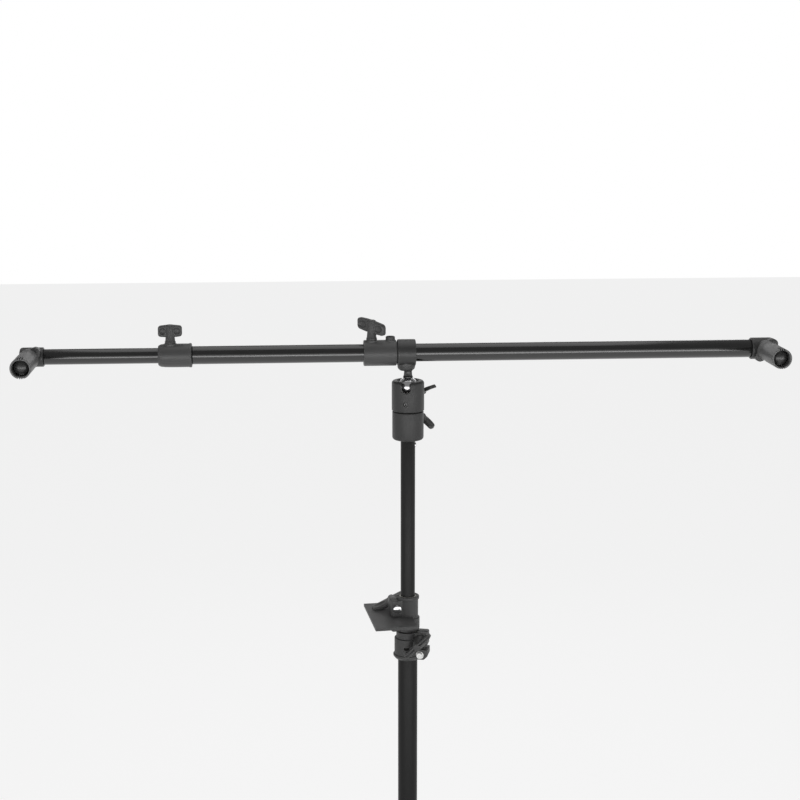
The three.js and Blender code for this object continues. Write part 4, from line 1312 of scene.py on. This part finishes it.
@dataclass
class BallHead(SubAssembly):
    """The two-part head with its notch, screws and knobs, and the ball."""

    bearing: float = -12.6
    knob_bearing: float = 68.5
    base_radius: float = 23.7
    socket_radius: float = 24.4
    ball_radius: float = 15.0
    ball_depth: float = 9.6
    notch_width: float = 14.6
    stud_knob_height: float = 27.0
    ball_knob_height: float = 21.0
    riser_radius: float = 11.0
    knob: WingKnob = field(
        default_factory=lambda: WingKnob(8, 14, 25, 10, 24, 6.5, arch=1.0, curl=4.0, corner=4.5)
    )

    def build(self) -> None:
        """Make and dress the head's pieces."""
        self._base()
        self._socket()
        self._ball()
        self._screws()
        self._knobs()
        keep(NYLON, "ball_seat")
        keep(ZINC, "top_stud")

    def _hole(self, z: float, reach: float) -> Shape:
        """Return the tool for a knob's cross hole."""
        hole = Shape.rod(3.4, 2, reach, segments=40)
        return hole.placed(turn("Z", self.knob_bearing) @ move(0, 0, z) @ ALONG_X)

    def _base(self) -> None:
        """Make the lower half."""
        under, top = low("head_base").z, high("head_base").z
        r, h = self.base_radius, top - under
        outline = [(8.3, 0), (r - 4.2, 0), (r - 1.9, 0.7), (r - 0.5, 2.2), (r, 4.4), (r, h - 1.1), (r - 0.9, h), (8.3, h)]
        base = Shape.turned(outline, segments=144).softened(0.25, segments=2)
        base.without(self._hole(self.stud_knob_height, r + 3))
        base.placed(move(0, 0, under) @ turn("Z", self.bearing))
        make("head_lower_half", base, HEAD_METAL, "head", ["head_base"])

    def _socket(self) -> None:
        """Make the upper half: round shoulder, open mouth, notch with a turned-out rim."""
        under, top = low("head_socket").z, high("head_socket").z
        r, h = self.socket_radius, top - under
        ball = h - self.ball_depth
        hollow = self.ball_radius + 0.3
        outline = [(0, 0), (r - 1.1, 0), (r, 1.1), (r, h - 4.2), (r - 0.5, h - 2.2), (r - 1.9, h - 0.6), (r - 4, h)]
        outline += [(hollow + 2.2, h), (hollow + 0.9, h - 0.9), (hollow - 1.3, ball + 7.4), (hollow - 0.3, ball + 4)]
        outline += [(hollow, ball), (hollow, 18), (0, 18)]
        socket = Shape.turned(outline, segments=144).softened(0.2, segments=2)
        half = self.notch_width / 2
        tools = [
            Shape.rod(half, 0, r + 6, segments=72).placed(move(0, 0, ball) @ turn("X", 90)),
            Shape.block((2 * half, r + 6, 20), (0, -(r + 6) / 2, ball + 10)),
            Shape.rod(3.5, r - 6, r + 2, segments=40).placed(move(0, 0, 13) @ turn("X", 90)),
            self._hole(self.ball_knob_height, r + 3),
        ]
        flare = Shape.turned([(0, r - 1.5), (half + 0.1, r - 1.5), (half + 1.2, r + 2), (0, r + 2)], segments=72)
        tools.append(flare.placed(move(0, 0, ball) @ turn("X", 90)))
        socket.without(*tools).placed(move(0, 0, under) @ turn("Z", self.bearing))
        make("head_upper_half", socket, HEAD_METAL, "head", ["head_socket"])

    def _ball(self) -> None:
        """Make the ball."""
        ball = Shape.ball(self.ball_radius, tuple(middle("ball")), segments=96)
        make("chrome_ball", ball, CHROME, "ball", ["ball"])

    def _screws(self) -> None:
        """Make the grub screw in the head and the cross screw in the riser."""
        grub = Shape.turned([(0, 0), (3.2, 0), (3.2, 4.1), (2.7, 4.6), (0, 4.6)], segments=48)
        grub.without(Shape.rod(1.6, 1.2, 6, segments=6))
        under = low("head_socket").z
        out = -(self.socket_radius - 5.7)
        grub.placed(move(0, 0, under + 13) @ turn("Z", self.bearing) @ move(0, out, 0) @ turn("X", 90))
        make("head_grub_screw", grub, STEM_METAL, "head", ["grub_screw"])
        outline = [(0, -5), (2.7, -5), (2.7, 0), (3.8, 0), (3.8, 0.5), (3.1, 1.2), (1.8, 1.55), (0, 1.6)]
        screw = Shape.turned(outline, segments=48)
        screw.without(Shape.block((0.9, 5.4, 1.2), (0, 0, 1.6)), Shape.block((5.4, 0.9, 1.2), (0, 0, 1.6)))
        screw.placed(move(self.riser_radius + 0.3, 0, middle("stud_screw").z) @ ALONG_X)
        make("riser_cross_screw", screw, CHROME, "top_section", ["stud_screw"])

    def _knobs(self) -> None:
        """Make the two wing knobs on the head's side."""
        head = low("head_base").z
        rows = (
            ("stud_lock_knob", "stud_knob", head + self.stud_knob_height, -27, self.base_radius),
            ("ball_lock_knob", "ball_knob", low("head_socket").z + self.ball_knob_height, 35, self.socket_radius),
        )
        for node, body, height, tilt, radius in rows:
            around = turn("Z", self.bearing + self.knob_bearing)
            place = around @ move(radius + 0.3, 0, height) @ turn("X", 90 - tilt) @ ALONG_X
            knob = self.knob.shape().placed(place)
            make(f"{node}_wing", knob, KNOB_PLASTIC, body, [node])


# ---- Crossbar -----------------------------------------------------------------------------------


@dataclass
class Crossbar(SubAssembly):
    """The stem, ring and sleeve in the middle, both boom tubes, the extension collar and two knobs."""

    boom_radius: float = 13.5
    inner_radius: float = 11.5
    sleeve_radius: float = 19.4
    neck_radius: float = 15.9
    ring_radius: float = 20.15
    boss_drop: float = 26.4
    stem_radius: float = 6.5
    ball_to_bar: float = 51.6
    ball_radius: float = 15.0
    sleeve_knob_x: float = -54.4
    sleeve_screw_x: float = -26.5
    extension_radius: float = 18.0
    extension_knob_x: float = -352.0
    sleeve_knob: WingKnob = field(
        default_factory=lambda: WingKnob(8, 13, 22, 12, 28.5, 9, skew=5, curl=2.6, corner=4.5)
    )
    extension_knob: WingKnob = field(
        default_factory=lambda: WingKnob(8, 12, 17.5, 10.5, 26, 9, arch=1.5, curl=1.4, corner=3.6)
    )

    @property
    def axis(self) -> float:
        """Return the height of the crossbar's axis."""
        return middle("boom_outer_tube").z

    def build(self) -> None:
        """Make and dress the crossbar's pieces."""
        self._tubes()
        self._stem()
        self._ring()
        self._sleeve()
        self._extension_collar()
        self._knobs()
        keep(ZINC, "ring_clip")
        keep(NYLON, "inner_tube_bush")

    def _lay(self) -> Matrix:
        """Return the matrix that lays a turned piece on the crossbar's axis."""
        return move(0, 0, self.axis) @ ALONG_X

    def _tubes(self) -> None:
        """Make the outer and inner boom tubes."""
        rows = (("boom_outer_tube", self.boom_radius, "boom"), ("boom_inner_tube", self.inner_radius, "extension"))
        for node, radius, body in rows:
            tube = Tube(radius).shape(low(node).x, high(node).x).placed(self._lay())
            make(f"{node}_skin", tube, BAR_PAINT, body, [node])

    def _stem(self) -> None:
        """Make the stem between ball and ring, flared at its foot."""
        r, seat = self.stem_radius, -self.boss_drop - 0.3
        foot = -self.ball_to_bar + self.ball_radius - 1.5
        outline = [(0, foot), (r + 0.9, foot), (r + 0.9, foot + 2.2), (r, foot + 3.4), (r - 0.5, seat - 2.6)]
        outline += [(r - 0.5, seat - 1.4), (r, seat - 0.9), (r, seat), (5, seat), (5, seat + 7), (0, seat + 7)]
        stem = Shape.turned(outline, segments=72).softened(0.2, segments=2)
        stem.without(Shape.ball(self.ball_radius + 0.3, (0, 0, -self.ball_to_bar)))
        stem.placed(move(0, 0, self.axis))
        make("stem", stem, STEM_METAL, "ring", ["ball_stem"])

    def _ring(self) -> None:
        """Make the ring and its boss."""
        left, right = low("boom_ring").x, high("boom_ring").x
        r, centre = self.ring_radius, (left + right) / 2
        half = (right - left) / 2
        outline = [(5, left), (r - 1.7, left), (r - 0.5, left + 0.6), (r, left + 2), (r, right - 2)]
        outline += [(r - 0.5, right - 0.6), (r - 1.7, right), (5, right)]
        ring = Shape.turned(outline, segments=128).placed(ALONG_X)
        drop = self.boss_drop
        boss = [(0, -drop), (half - 4, -drop), (half - 1.2, 2.6 - drop), (half - 0.4, 6 - drop), (half - 0.4, 0), (0, 0)]
        neck = Shape.turned(boss, segments=96).placed(move(centre, 0, 0))
        ring.with_(neck)
        inner = self.neck_radius + 0.3
        tools = [
            Shape.rod(inner, left - 2, right + 2, segments=128).placed(ALONG_X),
            Shape.rod(inner + 2.5, right - 2.2, right + 2, segments=96).placed(ALONG_X),
            Shape.rod(5.3, -drop - 2, 0, segments=48),
        ]
        ring.without(*tools).placed(move(0, 0, self.axis))
        make("swivel_ring", ring, CAP_PLASTIC, "ring", ["boom_ring"])

    def _sleeve(self) -> None:
        """Make the sleeve with its neck through the ring, its knob pad and its screw pad."""
        left, right = low("boom_sleeve").x, high("boom_sleeve").x
        shoulder = low("boom_ring").x - 1.2
        r, neck, bore = self.sleeve_radius, self.neck_radius, self.boom_radius + 0.3
        groove = right - 2.2
        outline = [(bore, left), (r - 1.6, left), (r - 0.4, left + 0.5), (r, left + 1.8), (r, shoulder - 1.6)]
        outline += [(r - 0.5, shoulder - 0.4), (r - 1.4, shoulder), (neck, shoulder), (neck, groove)]
        outline += [(neck - 1, groove), (neck - 1, right), (bore, right)]
        sleeve = Shape.turned(outline, segments=128).placed(ALONG_X)
        pad = Shape.turned([(0, 10), (9.4, 10), (9.4, r - 0.4), (8.6, r + 0.2), (0, r + 0.2)], segments=64)
        lug = Shape.turned([(0, 10), (8.2, 10), (8.2, r - 0.3), (7.6, r + 0.2), (0, r + 0.2)], segments=64)
        sleeve.with_(pad.placed(move(self.sleeve_knob_x, 0, 0)), lug.placed(move(self.sleeve_screw_x, 0, 0)))
        sleeve.without(
            Shape.rod(bore, left - 2, right + 2, segments=128).placed(ALONG_X),
            Shape.rod(3.3, 0, r + 2, segments=40).placed(move(self.sleeve_knob_x, 0, 0)),
            Shape.rod(3.2, r - 4, r + 2, segments=40).placed(move(self.sleeve_screw_x, 0, 0)),
        )
        sleeve.placed(move(0, 0, self.axis))
        make("clamp_sleeve", sleeve, FITTING_PLASTIC, "sleeve", ["boom_sleeve"])
        base = self.axis + r + 0.3
        screw = Shape.turned([(0, -2.5), (2.7, -2.5), (2.7, 0), (3.6, 0), (5, 1.0), (4.4, 2.4), (0, 3.4)], segments=64)
        screw.without(Shape.rod(1.9, 1.6, 6, segments=6))
        cup = [(3.9, -0.2), (7, -0.2), (7, 4.2), (6.3, 5.2), (5.4, 5.3), (5.2, 1.2), (3.9, 0.6)]
        collar = Shape.turned(cup, segments=64).softened(0.15, segments=2)
        place = move(self.sleeve_screw_x, 0, base)
        make("sleeve_screw_head", screw.placed(place), CHROME, "sleeve", ["sleeve_screw"])
        make("sleeve_screw_cup", collar.placed(place), KNOB_PLASTIC, "sleeve")

    def _extension_collar(self) -> None:
        """Make the collar at the boom's left end, tapered to the left with a lip on the right."""
        left, right = low("extension_collar").x, high("extension_collar").x
        seat = low("boom_outer_tube").x - 0.3
        r, inner, bore = self.extension_radius, self.inner_radius + 0.3, self.boom_radius + 0.3
        outline = [(inner, left), (r - 4, left), (r - 2.6, left + 1.4), (r - 1.4, left + 4), (r - 0.7, left + 10)]
        outline += [(r - 0.5, left + 22), (r - 0.5, right - 4), (r, right - 3.4), (r, right - 0.8), (r - 0.8, right)]
        outline += [(bore, right), (bore, seat), (inner, seat)]
        collar = Shape.turned(outline, segments=128).softened(0.2, segments=2).placed(ALONG_X)
        pad = Shape.turned([(0, 11.9), (9.2, 11.9), (9.2, r - 0.3), (8.4, r + 0.2), (0, r + 0.2)], segments=64)
        collar.with_(pad.placed(move(self.extension_knob_x, 0, 0)))
        collar.without(
            Shape.rod(inner, left - 2, seat, segments=128).placed(ALONG_X),
            Shape.rod(3.3, 0, r + 2, segments=40).placed(move(self.extension_knob_x, 0, 0)),
        )
        collar.placed(move(0, 0, self.axis))
        make("extension_clamp", collar, FITTING_PLASTIC, "boom", ["extension_collar"])

    def _knobs(self) -> None:
        """Make the knobs of the sleeve and the extension collar, with their screws."""
        rows = (
            ("sleeve_knob", self.sleeve_knob, self.sleeve_knob_x, self.sleeve_radius, -38.0, "boom_knob"),
            ("extension_knob", self.extension_knob, self.extension_knob_x, self.extension_radius, 0.0, "reach_knob"),
        )
        for node, knob, x, radius, bearing, body in rows:
            place = move(x, 0, self.axis + radius + 0.3) @ turn("Z", bearing)
            shape = knob.shape().placed(place)
            make(f"{node}_wing", shape, KNOB_PLASTIC, body, [node])
            tube = self.boom_radius if body == "boom_knob" else self.inner_radius
            length = radius - tube - 0.2
            screw = Shape.turned([(0, -length), (2.2, -length), (3, -length + 0.8), (3, 0.4), (0, 0.4)], segments=40)
            make(f"{node}_screw", screw.placed(place), ZINC, body)


@dataclass
class SpringGrip(SubAssembly):
    """One end of the crossbar: end cap, lozenge flange, barrel with its mouth, plunger and spring."""

    name: str
    side: int
    tube_radius: float
    end_body: str
    grip_body: str
    plunger_body: str
    cap_wall: float = 2.8
    cap_solid: float = 19.5
    cap_socket: float = 15.0
    pivot_inset: float = 15.0
    radius: float = 15.0
    wall: float = 2.6
    floor: float = 22.0
    floor_thickness: float = 4.0
    mouth: float = 97.0
    notch_depth: float = 12.0
    crown: float = 91.0
    back: float = 72.0

    def build(self) -> None:
        """Make and dress the grip's pieces."""
        self._cap()
        self._flange()
        self._barrel()
        self._plunger()
        keep(ZINC, f"{self.name}_grip_spring", f"{self.name}_grip_pivot")

    @property
    def outer_end(self) -> float:
        """Return where the end cap ends, along X."""
        node = f"{self.name}_end_cap"
        return low(node).x if self.side < 0 else high(node).x

    @property
    def axis(self) -> float:
        """Return the height of the crossbar's axis."""
        return middle(f"{self.name}_end_cap").z

    def _outwards(self) -> Matrix:
        """Return the matrix from the grip's own frame, +Z towards the mouth, to its place."""
        return move(self.outer_end - self.side * self.pivot_inset, 0, self.axis) @ turn("X", 90)

    def _cap(self) -> None:
        """Make the end cap with its rounded outer end and open rim."""
        r, bore = self.tube_radius + self.cap_wall, self.tube_radius + 0.3
        rim = self.cap_solid + self.cap_socket
        outline = [(0, 0), (r - 4, 0), (r - 1.8, 0.7), (r - 0.5, 2.2), (r, 4.6), (r, rim - 5), (r + 0.0, rim - 4.4)]
        outline += [(r, rim - 0.8), (r - 0.8, rim), (bore, rim), (bore, self.cap_solid), (0, self.cap_solid)]
        cap = Shape.turned(outline, segments=128).softened(0.15, segments=2)
        cap.placed(move(self.outer_end, 0, self.axis) @ turn("Y", -90 * self.side))
        nodes = [f"{self.name}_end_cap"]
        make(f"{self.name}_cap", cap, CAP_PLASTIC, self.end_body, nodes)

    def _flange(self) -> None:
        """Make the lozenge flange, saddled on the cap, with a hole in its middle."""
        top = self.floor - 0.3
        lozenge = [(-21, -4), (-15, -8), (0, -10.5), (15, -8), (21, -4), (21, 4), (15, 8), (0, 10.5), (-15, 8), (-21, 4)]
        plate = Shape.slab(lozenge, top - 8, corner=5.0, edge=0.9).placed(move(0, 0, 8))
        step = Shape.turned([(0, 9), (14.4, 9), (14.4, top - 1), (13.4, top), (0, top)], segments=96)
        plate.with_(step).placed(turn("Z", 45))
        saddle = Shape.rod(self.tube_radius + self.cap_wall + 0.2, -60, 60, segments=128)
        plate.without(saddle.placed(ALONG_X), Shape.rod(3.3, 0, top + 2, segments=40))
        nodes = [f"{self.name}_grip_flange"]
        make(f"{self.name}_flange", plate.placed(self._outwards()), CAP_PLASTIC, self.end_body, nodes)

    def _barrel(self) -> None:
        """Make the barrel: a waist near its foot, comb slots and a crescent lip at its mouth."""
        r, inner, floor, mouth = self.radius, self.radius - self.wall, self.floor, self.mouth
        deck = floor + self.floor_thickness
        outline = [(3.3, floor), (r - 0.8, floor), (r, floor + 0.9), (r, floor + 5)]
        outline += [(r - 0.9, floor + 10), (r - 0.9, floor + 18), (r, floor + 24), (r, mouth - 1)]
        outline += [(r - 0.7, mouth), (inner + 0.4, mouth), (inner, mouth - 0.6), (inner, deck), (3.3, deck)]
        barrel = Shape.turned(outline, segments=128)
        slots = []
        for offset in (-3.1, 0.0, 3.1):
            depth = self.notch_depth + 1
            size = (1.9, 2 * r + 4, depth)
            slots.append(Shape.block(size, (offset, 0, mouth - self.notch_depth + depth / 2)))
        barrel.without(*slots)
        lip = [(inner - 0.6, mouth - 6), (inner + 0.6, mouth - 6.5), (inner + 0.6, mouth - 0.9), (inner - 0.6, mouth - 1.6)]
        for bearing in (20, 200):
            crescent = Shape.turned(lip, segments=48, sweep=50).placed(turn("Z", bearing - 45 * self.side))
            barrel.with_(crescent)
        barrel.placed(self._outwards())
        nodes = [f"{self.name}_grip_barrel"]
        make(f"{self.name}_barrel", barrel, GRIP_PLASTIC, self.grip_body, nodes)

    def _plunger(self) -> None:
        """Make the domed plunger."""
        r = self.radius - self.wall - 0.9
        outline = [(0, self.back), (r, self.back), (r, self.crown - 7)]
        outline += [
            (r * math.cos(math.radians(a)), self.crown - 7 + 7 * math.sin(math.radians(a))) for a in range(6, 90, 6)
        ]
        outline += [(0, self.crown)]
        plunger = Shape.turned(outline, segments=96).placed(self._outwards())
        nodes = [f"{self.name}_grip_plunger"]
        make(f"{self.name}_plunger_dome", plunger, GLOSS_PLASTIC, self.plunger_body, nodes)


# ---- Stage --------------------------------------------------------------------------------------


@dataclass
class Lamp:
    """A rectangular soft light."""

    name: str
    place: Point
    target: Point
    size: tuple[float, float]
    radiance: float

    def build(self) -> None:
        """Add the lamp to the scene."""
        data = bpy.data.lights.new(self.name, "AREA")
        data.shape = "RECTANGLE"
        data.size, data.size_y = self.size
        data.energy = self.radiance * math.pi * self.size[0] * self.size[1]
        lamp = bpy.data.objects.new(self.name, data)
        lamp.location = self.place
        lamp.rotation_euler = (Vector(self.target) - Vector(self.place)).to_track_quat("-Z", "Y").to_euler()
        lamp.visible_camera = False
        bpy.context.scene.collection.objects.link(lamp)


@dataclass
class Stage:
    """The pale floor, the soft lights, the world and the camera, in metres."""

    floor_half: float = 14.0
    lens: float = 72.0
    camera_place: Point = (-0.1846, -2.3504, 2.0516)
    camera_pitch: float = 78.6
    camera_bearing: float = -4.2
    lamps: tuple[Lamp, ...] = (
        Lamp("front_strip", (0.1, -2.15, 1.22), (0.0, 0.0, 1.5), (5.0, 0.5), 3.6),
        Lamp("overhead", (0.0, 0.6, 4.2), (0.0, 0.0, 1.0), (3.0, 3.0), 0.9),
        Lamp("left_fill", (-3.2, -1.4, 2.2), (0.0, 0.0, 1.3), (1.2, 2.2), 1.1),
        Lamp("right_fill", (3.2, -1.0, 2.0), (0.0, 0.0, 1.3), (1.2, 2.2), 0.9),
        Lamp("back_fill", (0.4, 3.4, 2.4), (0.0, 0.0, 1.2), (2.6, 1.6), 0.8),
    )

    def build(self) -> None:
        """Set up everything round the object."""
        self._floor()
        self._world()
        for lamp in self.lamps:
            lamp.build()
        self._camera()
        bpy.context.scene.view_settings.view_transform = "Standard"

    def _floor(self) -> None:
        """Add the floor, white to the camera yet keeping a soft shadow."""
        mesh = bmesh.new()
        bmesh.ops.create_grid(mesh, x_segments=1, y_segments=1, size=self.floor_half)
        data = bpy.data.meshes.new("floor")
        mesh.to_mesh(data)
        mesh.free()
        floor = bpy.data.objects.new("floor", data)
        bpy.context.scene.collection.objects.link(floor)
        material = bpy.data.materials.new("pale_floor")
        material.use_nodes = True
        material.node_tree.nodes.clear()
        wiring = Wiring(material.node_tree)
        paint = wiring.add("ShaderNodeBsdfDiffuse", Color=(0.86, 0.86, 0.86, 1))
        glow = wiring.add("ShaderNodeEmission", Color=(1, 1, 1, 1), Strength=1.0)
        path = wiring.add("ShaderNodeLightPath").outputs
        seen = wiring.math("ADD", path["Is Camera Ray"], path["Is Glossy Ray"], clamp=True)
        seen = wiring.math("ADD", seen, path["Is Transmission Ray"], clamp=True)
        share = wiring.math("MULTIPLY", seen, 0.8)
        mix = wiring.add("ShaderNodeMixShader", in0=share, in1=paint.outputs[0], in2=glow.outputs[0])
        wiring.add("ShaderNodeOutputMaterial", Surface=mix.outputs[0])
        data.materials.append(material)

    def _world(self) -> None:
        """Make the world: white to the camera, and to gloss white low down and darker overhead."""
        world = bpy.data.worlds.new("studio")
        bpy.context.scene.world = world
        world.use_nodes = True
        world.node_tree.nodes.clear()
        wiring = Wiring(world.node_tree)
        place = wiring.add("ShaderNodeTexCoord").outputs["Generated"]
        height = wiring.add("ShaderNodeSeparateXYZ", in0=place).outputs[2]
        falling = wiring.add("ShaderNodeMapRange", {"clamp": True}, Value=height)
        for name, value in (("From Min", 0.04), ("From Max", 0.26), ("To Min", 1.0), ("To Max", 0.22)):
            falling.inputs[name].default_value = value
        path = wiring.add("ShaderNodeLightPath").outputs
        polished = wiring.math("ADD", path["Is Glossy Ray"], path["Is Transmission Ray"], clamp=True)
        soft = wiring.add("ShaderNodeBackground", Color=(1, 1, 1, 1), Strength=0.42)
        mirrored = wiring.add("ShaderNodeBackground", Color=(1, 1, 1, 1), Strength=falling.outputs[0])
        seen = wiring.add("ShaderNodeBackground", Color=(1, 1, 1, 1), Strength=1.0)
        shine = wiring.add("ShaderNodeMixShader", in0=polished, in1=soft.outputs[0], in2=mirrored.outputs[0])
        whole = wiring.add("ShaderNodeMixShader", in0=path["Is Camera Ray"], in1=shine.outputs[0], in2=seen.outputs[0])
        wiring.add("ShaderNodeOutputWorld", Surface=whole.outputs[0])

    def _camera(self) -> None:
        """Add the camera at the viewing angle."""
        data = bpy.data.cameras.new("camera")
        data.lens = self.lens
        data.sensor_width = 36.0
        camera = bpy.data.objects.new("camera", data)
        camera.location = self.camera_place
        camera.rotation_euler = (math.radians(self.camera_pitch), 0.0, math.radians(self.camera_bearing))
        bpy.context.scene.collection.objects.link(camera)
        bpy.context.scene.camera = camera


def main() -> None:
    logging.basicConfig(level=logging.INFO, format="%(name)s: %(message)s")
    groups: list[SubAssembly] = [
        Leg("low", 0.0, "base"),
        Leg("mid", 120.0, "mid_leg"),
        Leg("high", 240.0, "high_leg", locked=True),
        ColumnFoot(),
        Column(),
        LOWER_COLLAR,
        UPPER_COLLAR,
        BallHead(),
        Crossbar(),
        SpringGrip("left", -1, 11.5, "extension", "left_grip", "left_plunger"),
        SpringGrip("right", 1, 13.5, "boom", "right_grip", "right_plunger"),
    ]
    for group in groups:
        LOG.info("building %s", type(group).__name__)
        group.build()
    Stage().build()


if __name__ == "__main__":
    main()
